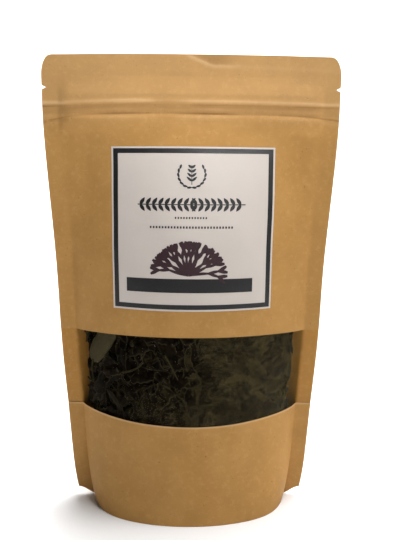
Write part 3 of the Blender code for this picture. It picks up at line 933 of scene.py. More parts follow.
@dataclass(frozen=True)
class LabelFinish:
    """Satin coated label paper with a faint grain whose paler specks are painted glints."""

    colour: Colour = (0.635, 0.572, 0.520)
    cloudy: Colour = (0.59, 0.535, 0.495)
    # Paler colour of the painted glints.
    painted_glint: Colour = (0.68, 0.625, 0.575)

    def build(self) -> bpy.types.Material:
        """Write the nodes.

        Returns:
            The material.
        """
        draft = NodeDraft("label_paper")
        plain = draft.place()
        grain = draft.noise(plain, 900, 4, 0.6)
        cloud = draft.noise(plain, 60, 2)
        colour = draft.mix(draft.ramp(cloud, 0.3, 0.7, 0.0, 0.5), self.colour, self.cloudy)
        # Painted glints: fine paler specks in the paper's colour.
        colour = draft.mix(draft.ramp(grain, 0.5, 0.8, 0.0, 0.25), colour, self.painted_glint)
        rough = draft.ramp(grain, 0.3, 0.7, 0.42, 0.52)
        return draft.finish(Base_Color=colour, Roughness=rough, Normal=draft.bump(grain, 0.12, 0.00004),
                            Specular_IOR_Level=0.4)


@dataclass(frozen=True)
class PlasticFinish:
    """Milky zip plastic with fine drawing lines along it."""

    colour: Colour = (0.75, 0.74, 0.70)
    lined: Colour = (0.66, 0.65, 0.60)

    def build(self) -> bpy.types.Material:
        """Write the nodes.

        Returns:
            The material.
        """
        draft = NodeDraft("zip_plastic")
        lines = draft.noise(draft.place((60, 1500, 5000)), 1.0, 2)
        colour = draft.mix(draft.ramp(lines, 0.3, 0.7, 0.0, 0.4), self.colour, self.lined)
        return draft.finish(Base_Color=colour, Roughness=draft.ramp(lines, 0.3, 0.7, 0.28, 0.40),
                            Normal=draft.bump(lines, 0.15, 0.00003), Subsurface_Weight=0.2,
                            Subsurface_Radius=(0.002, 0.002, 0.002))


@dataclass(frozen=True)
class SeaweedFinish:
    """Dried frond: leathery black-brown to olive, paler along thin rims, with a dusting of salt."""

    name: str = "dried_seaweed"
    black: Colour = (0.0026, 0.0016, 0.0007)
    brown: Colour = (0.0105, 0.0066, 0.0026)
    olive: Colour = (0.033, 0.0275, 0.0105)
    rim: Colour = (0.072, 0.060, 0.032)
    salt: Colour = (0.46, 0.41, 0.29)

    def build(self) -> bpy.types.Material:
        """Write the nodes.

        Returns:
            The material.
        """
        draft = NodeDraft(self.name)
        plain = draft.place()
        tone = draft.mark("tone")
        blotch = draft.noise(plain, 350, 4, 0.65, 0.5)
        wrinkle = draft.noise(plain, 1100, 5, 0.7, 1.2)
        colour = draft.mix(draft.ramp(blotch, 0.35, 0.7), self.black, self.brown)
        toned = draft.ramp(draft.maths("ADD", tone, draft.ramp(blotch, 0.3, 0.7, -0.2, 0.2)), 0.35, 1.0)
        colour = draft.mix(toned, colour, self.olive)
        edge = draft.maths("MULTIPLY", draft.mark("rim"), draft.ramp(wrinkle, 0.3, 0.7, 0.35, 0.9))
        colour = draft.mix(edge, colour, self.rim)
        bloom = draft.ramp(draft.noise(plain, 2600, 2, 0.6), 0.70, 0.80, 0.0, 0.08)
        colour = draft.mix(draft.maths("MULTIPLY", bloom, tone), colour, self.salt)
        normal = draft.bump(blotch, 0.5, 0.0005)
        normal = draft.bump(wrinkle, 0.6, 0.00022, normal)
        rough = draft.ramp(wrinkle, 0.3, 0.75, 0.40, 0.72)
        return draft.finish(Base_Color=colour, Roughness=rough, Normal=normal, Specular_IOR_Level=0.025)


@dataclass(frozen=True)
class GrainedFinish:
    """Two shades mixed by a fine grain: torn paper fibres, printed ink, salt or a matt floor."""

    name: str
    colour: Colour
    second: Colour
    scale: float
    octaves: float = 3.0
    fineness: float = 0.5
    stretch: tuple[float, float, float] = (1.0, 1.0, 1.0)
    shading: tuple[float, float, float] = (0.3, 0.7, 1.0)
    roughness: Range = (0.9, 0.9)
    relief: Range = (0.0, 0.0)

    def build(self) -> bpy.types.Material:
        """Write the nodes.

        Returns:
            The material.
        """
        draft = NodeDraft(self.name)
        grain = draft.noise(draft.place(self.stretch), self.scale, self.octaves, self.fineness)
        low, high, most = self.shading
        colour = draft.mix(draft.ramp(grain, low, high, 0.0, most), self.colour, self.second)
        smooth, rough = self.roughness
        inputs = {"Base_Color": colour, "Roughness": rough}
        if smooth != rough:
            inputs["Roughness"] = draft.ramp(grain, 0.3, 0.7, smooth, rough)
        strength, distance = self.relief
        if strength:
            inputs["Normal"] = draft.bump(grain, strength, distance)
        return draft.finish(**inputs)


PRINTED = {"scale": 1400.0, "fineness": 0.6, "shading": (0.45, 0.75, 0.8), "roughness": (0.36, 0.5),
           "relief": (0.10, 0.00003)}
CUT_EDGE = GrainedFinish("kraft_cut_edge", (0.66, 0.45, 0.24), (0.42, 0.24, 0.10), 1.0,
                         stretch=(3000.0, 3000.0, 900.0), shading=(0.35, 0.7, 1.0),
                         roughness=(0.85, 0.85), relief=(0.4, 0.00005))
BLACK_INK = GrainedFinish("black_ink", (0.006, 0.005, 0.006), (0.016, 0.014, 0.015), **PRINTED)
PLUM_INK = GrainedFinish("plum_ink", (0.030, 0.009, 0.014), (0.060, 0.020, 0.026), **PRINTED)
SALT = GrainedFinish("salt_grains", (0.50, 0.46, 0.34), (0.35, 0.33, 0.26), 3000.0, 2.0,
                     shading=(0.4, 0.7, 1.0), roughness=(0.25, 0.25), relief=(0.3, 0.00005))
MATT_FLOOR = GrainedFinish("studio_floor", (0.90, 0.90, 0.90), (0.885, 0.885, 0.885), 40.0)


# Paper webs and film


@dataclass(frozen=True)
class WindowEdge:
    """Edge of a paper panel, straight or bowed towards the side seals."""

    middle: float
    bow: float = 0.0

    def __call__(self, u: Array) -> Array:
        """Place up of the edge at each u."""
        return self.middle + self.bow * (np.minimum(np.abs(u), SHAPE.inner_half) / SHAPE.inner_half) ** 2


@dataclass
class PaperWebs:
    """Kraft webs of the front and back, in fine closed sheets with cut edges and low relief."""

    thickness: float = 0.00018
    body_lift: float = 0.00032
    sealed_lift: float = 0.00002
    window_low: float = 0.046
    window_high: float = 0.0866
    lower_bow: float = 0.0026
    upper_bow: float = 0.0012
    film_lap: float = 0.010
    film_room: float = 0.00010
    column_step: float = 0.0010
    row_step: float = 0.0011
    fine_step: float = 0.00042
    fine_from: float = 0.1815
    header_wear: float = 0.32
    # Share of painted light that makes the whole header paler.
    crest_heights: tuple[float, float] = (0.00014, 0.00060)
    crease_depths: tuple[float, float] = (0.00006, 0.00030)
    header_heights: Range = (0.174, 0.194)
    rubbed_rim: float = 0.0010
    lip_width: float = 0.0007
    wear_shares: tuple[float, float, float] = (0.6, 0.25, 0.5)
    shaded_band: tuple[Range, Range] = ((0.1838, 0.1850), (0.1884, 0.1892))
    # Shares of painted shade in the zip's creases, the zip band and the fold's hollow.
    shade_shares: tuple[float, float, float] = (0.62, 0.22, 0.5)
    fibre_reach: Range = (0.0011, 0.0003)
    seal_columns: int = 8
    lap_step: float = 0.002
    lining: Colour = (0.47, 0.225, 0.046)

    def columns(self) -> Array:
        """Space the points across a web, with the seal's inner line on one of them.

        Returns:
            Shares from -2 to 2, where 1 is the seal's inner line and 2 the cut edge.
        """
        inner = SHAPE.inner_half
        body = np.linspace(-inner, inner, 2 * round(inner / self.column_step) + 1)
        seal = np.linspace(0, 1, self.seal_columns)[1:]
        return np.concatenate((-1 - seal[::-1], body / inner, 1 + seal))

    def across(self, columns: Array, v: Array) -> Array:
        """Turn column shares into places across at each v.

        Args:
            columns: Shares from -2 to 2, where 1 is the seal's inner line and 2 the cut edge.
            v: Places up, one a row.

        Returns:
            A grid of places across.
        """
        inner = SHAPE.inner_half
        beyond = np.clip(np.abs(columns) - 1, 0.0, 1.0)
        strip = (SHAPE.half_width(v) - inner)[:, None] * beyond[None, :]
        return np.sign(columns) * (inner * np.minimum(np.abs(columns), 1.0) + strip)

    def rows(self, low: float, high: float) -> Array:
        """Space the points up a web, closer at the zip, the notches and the top seal.

        Args:
            low: Height of the first.
            high: Height of the last.

        Returns:
            Places up.
        """
        steps = [low]
        while steps[-1] < high:
            fine = steps[-1] >= self.fine_from
            steps.append(steps[-1] + (self.fine_step if fine else self.row_step))
        rows = np.array(steps)
        return low + (rows - low) * (high - low) / (rows[-1] - low)

    def lift(self, u: Array, v: Array, behind_film: bool) -> Array:
        """Distance of the paper's inner face from the lining."""
        seal_gap = self.sealed_lift + (self.film_room * self.over_film(v) if behind_film else 0.0)
        return seal_gap + (self.body_lift - seal_gap) * (1 - sealed(u, v))

    def over_film(self, v: Array) -> Array:
        """1 where the film lies behind the front paper, else 0, with a soft step."""
        low, high = self.window_low - self.film_lap, self.window_high + self.film_lap
        return smoothstep(low - self.lap_step, low, v) * (1 - smoothstep(high, high + self.lap_step, v))

    def edge_wear(self, u: Array, v: Array, web: Web) -> Array:
        """Find the paler marks: painted highlights on the zip's crests and the fold's lip, the painted
        light that makes the header paler, and the real rubbed cut edges.

        Args:
            u: Places across.
            v: Places up.
            web: The web.

        Returns:
            Real wear and painted light, from 0 to 1.
        """
        # Painted highlight on the zip's crests, partly real whitening of the pressed paper.
        crest = smoothstep(*self.crest_heights, web.relief.zip_creases(u, v))
        rubbed = smoothstep(SHAPE.half_width(v) - self.rubbed_rim, SHAPE.half_width(v), np.abs(u))
        # Painted highlight along the fold's lip.
        line, shown = web.relief.fold_line(u)
        lip = bell(v, line, self.lip_width) * shown * (web.side is Side.FRONT)
        # Painted light: the whole header is painted paler.
        wear = self.header_wear * smoothstep(*self.header_heights, v)
        for share, mark in zip(self.wear_shares, (crest, rubbed, lip)):
            wear = wear + share * mark
        return np.clip(wear, 0.0, 1.0)

    def crease_shade(self, u: Array, v: Array, web: Web) -> Array:
        """Find the painted shade in the zip's creases, across the zip band and in the fold's hollow.

        Args:
            u: Places across.
            v: Places up.
            web: The web.

        Returns:
            Shade from 0 to 1.
        """
        # Painted shade in the zip's creases, across the zip band and in the fold's hollow.
        pressed = smoothstep(*self.crease_depths, -web.relief.zip_creases(u, v))
        starts, ends = self.shaded_band
        band = smoothstep(*starts, v) * (1 - smoothstep(*ends, v))
        folded = web.relief.fold_shade(u, v) * (web.side is Side.FRONT)
        shade = sum(share * mark for share, mark in zip(self.shade_shares, (pressed, band, folded)))
        return np.clip(shade, 0.0, 1.0)

    def sheet(self, name: str, web: Web, low: Edge, high: Edge, finishes: Materials,
              pale_edge: float = 0.0) -> bpy.types.Object:
        """Make one paper sheet.

        Args:
            name: The piece's name.
            web: The web that it follows.
            low: Lower edge as a function of u.
            high: Upper edge as a function of u.
            finishes: Materials of its outer face, inner face and cut edge.
            pale_edge: How pale the fibres are along its upper edge.

        Returns:
            The piece.
        """
        columns = self.columns()
        middle = np.zeros(1)
        plain_rows = self.rows(float(low(middle)[0]), float(high(middle)[0]))
        share = (plain_rows - plain_rows[0]) / (plain_rows[-1] - plain_rows[0])
        u = self.across(columns, plain_rows)
        v = low(u) + (high(u) - low(u)) * share[:, None]
        start = self.lift(u, v, web.side is Side.FRONT)
        # Colour marks of the paper: real wear with painted highlights and painted light, and painted shade
        # in creases.
        batch = MeshBatch(("wear", "crease"))
        outer = web.place(u, v, start + self.thickness)
        fibres = pale_edge * smoothstep(*self.fibre_reach, high(u) - v)
        # The crease mark carries painted shade; the other mark carries real wear with painted highlights
        # and painted light.
        marks = {"wear": np.maximum(self.edge_wear(u, v, web), fibres), "crease": self.crease_shade(u, v, web)}
        batch.add_sheet(outer, web.place(u, v, start), **marks)
        return batch.build(name, finishes)

    def build(self) -> None:
        """Make and dress all three paper sheets."""
        outside = KraftFinish("kraft_paper").build()
        lining = KraftFinish("kraft_lining", colour=self.lining, roughness=0.5, coat=0.08).build()
        finishes = (outside, lining, CUT_EDGE.build())
        top = WindowEdge(SHAPE.flat_height)
        above = WindowEdge(self.window_high, -self.upper_bow)
        below = WindowEdge(self.window_low, self.lower_bow)
        upper = self.sheet("kraft_front_upper", FRONT_WEB, above, top, finishes)
        settle(upper, "kraft_paper", "front_upper_panel")
        lower = self.sheet("kraft_front_lower", FRONT_WEB, SHAPE.bottom_edge, below, finishes, 1.0)
        settle(lower, "kraft_paper", "front_lower_panel")
        back = self.sheet("kraft_back", BACK_WEB, SHAPE.bottom_edge, top, finishes)
        settle(back, "kraft_paper", "back_panel")


@dataclass
class WindowFilm:
    """Clear film across the window, with a painted reflection that is stronger at the right than at the
    left.
    """

    low: float = 0.036
    high: float = 0.0966
    thickness: float = 0.00008
    body_lift: float = 0.00020
    sealed_lift: float = 0.00002
    step: float = 0.0010
    pucker: float = 0.00005
    patch_push: float = 0.006
    # Where the painted reflection lies on the film, and how strong it is.
    reflection_right: Range = (-0.004, 0.016)
    reflection_low_left: tuple[Range, Range] = ((-0.034, -0.020), (0.068, 0.058))
    low_left_lean: tuple[float, float] = (0.5, 0.012)
    reflection_fades: Range = (0.053, 0.058)
    cling_shares: tuple[float, float, float] = (0.02, 0.90, 0.50)

    def cling(self, u: Array, v: Array) -> Array:
        """Find how much painted reflection lies on the film.

        Args:
            u: Places across.
            v: Places up.

        Returns:
            Numbers from 0 to 1.
        """
        patches = Waves(31, 0.012, 0.030)
        right = smoothstep(*self.reflection_right, u + self.patch_push * patches(u, v))
        (across, up), (lean, middle) = self.reflection_low_left, self.low_left_lean
        low_left = smoothstep(*across, u) * smoothstep(*up, v + lean * np.abs(u + middle))
        inside = 1 - smoothstep(*self.reflection_fades, np.abs(u))
        least, at_right, at_left = self.cling_shares
        return np.clip(least + at_right * right + at_left * low_left, 0.0, 1.0) * inside

    def build(self) -> None:
        """Make and dress the film."""
        half = SHAPE.flat_width / 2
        across = np.arange(-half, half + 1e-9, self.step)
        u, v = np.meshgrid(across, np.arange(self.low, self.high, self.step))
        start = self.sealed_lift + (self.body_lift - self.sealed_lift) * (1 - sealed(u, v))
        start = start + self.pucker * Waves(37, 0.004, 0.012, 24)(u, v) * (1 - sealed(u, v))
        batch = MeshBatch(("cling",))
        outer = FRONT_WEB.place(u, v, start + self.thickness)
        batch.add_sheet(outer, FRONT_WEB.place(u, v, start), cling=self.cling(u, v))
        film = FilmFinish().build()
        settle(batch.build("window_strip", (film, film, film)), "clear_film", "window_film")


@dataclass
class FoldedBase:
    """Base web: skirts sealed inside both paper webs and the standing oval between them."""

    skirt_share: float = 0.25
    inset: float = 0.00022
    thickness: float = 0.00018
    flat_across: float = 0.40
    flat_deep: float = 0.45
    end_power: float = 2.5
    sag_power: float = 1.6
    edge_rise: float = 0.0002
    columns: int = 97
    rows: int = 97
    crease_width: float = 0.02
    crease_wear: float = 0.7
    colour: Colour = (0.44, 0.235, 0.078)

    def underside(self, u: Array, across: Array) -> Array:
        """Height of the base's underside.

        Args:
            u: Places across.
            across: Places from -1 at the front seal to 1 at the back seal.

        Returns:
            Heights above the floor.
        """
        end = np.minimum(np.abs(u) / SHAPE.gusset_half, 1.0)
        rim = SHAPE.point(u, SHAPE.base_seal(u), Side.FRONT)[..., 2]
        crease = rim * (np.maximum(end - self.flat_across, 0.0) / (1 - self.flat_across)) ** self.end_power
        away = np.maximum(np.abs(across) - self.flat_deep, 0.0) / (1 - self.flat_deep)
        return crease + (rim - crease) * away ** self.sag_power

    def points(self, u: Array, place: Array, inward: float) -> Array:
        """Find points of the base web.

        Args:
            u: Places across.
            place: Places from -1 at the front edge to 1 at the back edge.
            inward: Distance into the pouch from the underside.

        Returns:
            Points along the last axis.
        """
        seal = SHAPE.base_seal(u)
        grids = {}
        for side, web in ((Side.FRONT, FRONT_WEB), (Side.BACK, BACK_WEB)):
            up = np.clip((1 - np.abs(place)) / self.skirt_share, 0.0, 1.0)
            low = SHAPE.bottom_edge(u) + self.edge_rise
            skirt = web.place(u, low + (seal - low) * up, -self.inset + inward - self.thickness)
            edge = web.place(u, seal, np.full_like(u, -self.inset))
            across = place / (1 - self.skirt_share)
            height = self.underside(u, np.clip(across, -1, 1)) + inward
            floor = np.stack((edge[..., 0], np.abs(across) * edge[..., 1], height), axis=-1)
            on_skirt = (np.abs(place) > 1 - self.skirt_share)[..., None]
            grids[side] = np.where(on_skirt, skirt, floor)
        return np.where((place < 0)[..., None], grids[Side.FRONT], grids[Side.BACK])

    def build(self) -> None:
        """Make and dress the base web."""
        half = SHAPE.gusset_half
        u, place = np.meshgrid(np.linspace(-half, half, self.columns), np.linspace(-1, 1, self.rows))
        batch = MeshBatch(("wear", "crease"))
        creased = bell(np.abs(place), 1 - self.skirt_share, self.crease_width)
        outer, inner = self.points(u, place, 0.0), self.points(u, place, self.thickness)
        batch.add_sheet(outer, inner, wear=self.crease_wear * creased, crease=0.0)
        paper = KraftFinish("kraft_base", colour=self.colour).build()
        edge = CUT_EDGE.build()
        settle(batch.build("kraft_base", (paper, paper, edge)), "kraft_base", "bottom_gusset")


# Label


@dataclass
class Label:
    """Square paper label, printed with a plain frame, a band, a sprig, leaves and fronds."""

    size: float = 0.0715
    bottom: float = 0.0985
    shift: float = 0.0009
    lift: float = 0.00054
    thickness: float = 0.00012
    ink_lift: float = 0.000008
    ink_thickness: float = 0.000020
    steps: int = 72
    frame_inset: float = 0.0008
    frame_width: float = 0.0021
    band: tuple[float, float, float, float] = (0.0066, 0.0622, 0.0572, 0.0633)
    leaf_power: float = 0.8
    hairline: float = 0.00004
    emblem: tuple[float, float] = (0.0352, 0.0120)
    ring_radius: float = 0.0062
    ring_leaves: int = 7
    ring_turns: tuple[float, float, float] = (0.35, 0.33, 2.0)
    ring_leaf: tuple[float, float] = (0.0023, 0.0009)
    stem_span: Range = (0.0045, -0.0040)
    stem_width: float = 0.00016
    row_stem: float = 0.00022
    row_leaf: tuple[float, float] = (0.0036, 0.0015)
    row_span: Range = (0.0118, 0.0586)
    row_down: float = 0.0251
    row_leaves: int = 17
    row_lean: float = 0.95
    dots: tuple[tuple[float, float, float, float, float], ...] = (
        (0.0280, 0.0424, 0.0308, 0.0012, 0.00042),
        (0.0172, 0.0530, 0.0349, 0.0013, 0.00048),
    )
    spray_foot: tuple[float, float] = (0.0340, 0.0556)
    spray_fronds: int = 15
    seed: int = 5

    def place(self, across: Array, down: Array, lift: float) -> Array:
        """Find points on the label.

        Args:
            across: Distances from its left edge.
            down: Distances from its top edge.
            lift: Distance outwards from the lining.

        Returns:
            Points along the last axis.
        """
        u = np.asarray(across) - self.size / 2 + self.shift
        v = self.bottom + self.size - np.asarray(down)
        return FRONT_WEB.place(u, v, np.full_like(u, lift))

    def ink(self, batch: MeshBatch, across: Array, down: Array) -> None:
        """Lay a grid of ink on the paper."""
        low = self.lift + self.thickness + self.ink_lift
        batch.add_sheet(self.place(across, down, low + self.ink_thickness), self.place(across, down, low))

    def block(self, batch: MeshBatch, left: float, right: float, top: float, foot: float) -> None:
        """Ink a rectangle, by distances from the label's left and top edges.

        Args:
            batch: Where the ink is gathered.
            left: Its left edge.
            right: Its right edge.
            top: Its top edge.
            foot: Its bottom edge.
        """
        columns = max(2, round((right - left) / MM) + 1)
        rows = max(2, round((foot - top) / MM) + 1)
        self.ink(batch, *np.meshgrid(np.linspace(left, right, columns), np.linspace(top, foot, rows)))

    def stroke(self, batch: MeshBatch, path: Array, half_widths: Array) -> None:
        """Ink a stroke.

        Args:
            batch: Where the ink is gathered.
            path: Its middle line, as rows of across and down.
            half_widths: Half its width at each point.
        """
        along = np.gradient(path, axis=0)
        along /= np.linalg.norm(along, axis=1, keepdims=True)
        beside = np.stack((-along[:, 1], along[:, 0]), axis=1)[:, None, :]
        places = np.linspace(-1, 1, 3)[None, :, None] * half_widths[:, None, None]
        grid = path[:, None, :] + beside * places
        self.ink(batch, grid[..., 0], grid[..., 1])

    def leaf(self, batch: MeshBatch, root: tuple[float, float], turn: float, length: float,
             width: float) -> None:
        """Ink a plain pointed leaf.

        Args:
            batch: Where the ink is gathered.
            root: Where it starts, as across and down.
            turn: Its direction.
            length: Its length.
            width: Its greatest width.
        """
        share = np.linspace(0, 1, 9)
        reach = share * length
        path = np.stack((root[0] + reach * math.cos(turn), root[1] + reach * math.sin(turn)), axis=1)
        swell = np.sin(math.pi * share ** self.leaf_power) ** self.leaf_power
        self.stroke(batch, path, width / 2 * swell + self.hairline)

    def print_frame(self, batch: MeshBatch) -> None:
        """Ink the frame and the solid band.

        Args:
            batch: Where the ink is gathered.
        """
        low, high = self.frame_inset, self.size - self.frame_inset
        width = self.frame_width
        self.block(batch, low, high, low, low + width)
        self.block(batch, low, high, high - width, high)
        self.block(batch, low, low + width, low + width, high - width)
        self.block(batch, high - width, high, low + width, high - width)
        self.block(batch, *self.band)

    def print_emblem(self, batch: MeshBatch) -> None:
        """Ink a small upright sprig between two thin arcs of leaves.

        Args:
            batch: Where the ink is gathered.
        """
        middle, radius = self.emblem, self.ring_radius
        for side in (-1, 1):
            first, gap, lean = self.ring_turns
            for step in range(self.ring_leaves):
                turn = math.pi / 2 + side * (first + gap * step)
                root = (middle[0] + radius * math.cos(turn), middle[1] + radius * math.sin(turn))
                self.leaf(batch, root, turn - side * lean, *self.ring_leaf)
        down = np.linspace(*self.stem_span, 9) + middle[1]
        stem = np.stack((np.full_like(down, middle[0]), down), axis=1)
        self.stroke(batch, stem, np.full_like(down, self.stem_width))
        for step in range(4):
            for side in (-1, 1):
                root = (middle[0], middle[1] + 0.0030 - 0.0019 * step)
                self.leaf(batch, root, -math.pi / 2 + side * 0.85, 0.0030 - 0.0003 * step, 0.0010)

    def print_rows(self, batch: MeshBatch) -> None:
        """Ink a bold row of paired leaves with two fine rules of dots under it.

        Args:
            batch: Where the ink is gathered.
        """
        (left, right), middle = self.row_span, self.row_down
        stem = np.stack((np.linspace(left, right, 40), np.full(40, middle)), axis=1)
        self.stroke(batch, stem, np.full(40, self.row_stem))
        for step in range(self.row_leaves):
            across = left + 0.0010 + (right - left - 0.0030) * step / (self.row_leaves - 1)
            lean = self.row_lean if across < (left + right) / 2 else math.pi - self.row_lean
            for side in (-1, 1):
                self.leaf(batch, (across, middle), side * lean, *self.row_leaf)
        for low, high, down, spacing, size in self.dots:
            for across in np.arange(low, high, spacing):
                self.block(batch, across, across + size * 1.5, down - size, down + size)

    def print_spray(self, batch: MeshBatch) -> None:
        """Ink a low fan of forked fronds.

        Args:
            batch: Where the ink is gathered.
        """
        draw = np.random.default_rng(self.seed)
        middle = self.spray_fronds // 2
        for step in range(self.spray_fronds):
            lean = (step - middle) / middle
            turn, length = -math.pi / 2 + lean * 1.38, 0.0150 + 0.0022 * lean ** 2
            self.frond(batch, draw, self.spray_foot, turn, length, 2)

    def frond(self, batch: MeshBatch, draw: np.random.Generator, root: tuple[float, float], turn: float,
              length: float, forks: int) -> None:
        """Ink a frond that forks.

        Args:
            batch: Where the ink is gathered.
            draw: Source of random numbers.
            root: Where it starts, as across and down.
            turn: Its direction.
            length: Its whole length.
            forks: How many more times it forks.
        """
        part = length * (0.50 if forks else 1.0)
        bend = draw.uniform(-0.25, 0.25)
        points = 7
        share = np.linspace(0, 1, points)
        angle = turn + bend * share
        along = np.stack((np.cos(angle), np.sin(angle)), axis=1)
        path = np.array(root) + np.cumsum(along, axis=0) * part / points
        path[0] = root
        swell = 0.00045 + 0.00022 * np.sin(math.pi * share) * (1 if forks else 1.6)
        self.stroke(batch, path, swell)
        if forks:
            for side in (-1, 1):
                heading = turn + bend + side * draw.uniform(0.22, 0.42)
                self.frond(batch, draw, tuple(path[-1]), heading, length - part, forks - 1)

    def build(self) -> None:
        """Make and dress the paper and its print."""
        edge = np.linspace(0, self.size, self.steps)
        across, down = np.meshgrid(edge, edge)
        sheet = MeshBatch()
        outer = self.place(across, down, self.lift + self.thickness)
        sheet.add_sheet(outer, self.place(across, down, self.lift))
        paper = LabelFinish().build()
        settle(sheet.build("label_sheet", (paper, paper, paper)), "label_paper", "label")
        black, plum = BLACK_INK.build(), PLUM_INK.build()
        dark, tinted = MeshBatch(), MeshBatch()
        self.print_frame(dark)
        self.print_emblem(dark)
        self.print_rows(dark)
        self.print_spray(tinted)
        settle(dark.build("label_print_black", (black, black, black)), "label_paper")
        settle(tinted.build("label_print_plum", (plum, plum, plum)), "label_paper")


# Dried seaweed


@dataclass(frozen=True)
class BladeForm:
    """Size and curl of one cut bit of frond."""

    length: float
    width: float
    roll: float
    skew: float
    bend: float
    arch: float
    ripple: float
    blunt: float
    rib: float
    notch: float
    taper: float
    phase: float
    thickness: float = 0.00016
    ragged_waves: tuple[tuple[float, float, float, float], ...] = (
        (0.10, 11.0, 1.0, 2.1),
        (0.07, 23.0, -1.0, -1.0),
    )
    least_end: float = 0.16
    curl_waves: tuple[float, float, float] = (0.8, 0.35, 3.1)
    notch_width: float = 0.30
    notch_reach: Range = (0.45, 1.0)
    ripple_waves: float = 9.0
    rib_width: float = 0.16
    thickness_shares: tuple[float, float] = (1.25, 0.65)
    side_rim: Range = (0.80, 1.0)
    end_rim: Range = (0.86, 1.0)


@dataclass(frozen=True)
class Resting:
    """Where a bit of frond lies behind a web, and how it is tilted."""

    u: float
    v: float
    depth: float
    heading: float
    roll: float
    pitch: float
    nearest: float


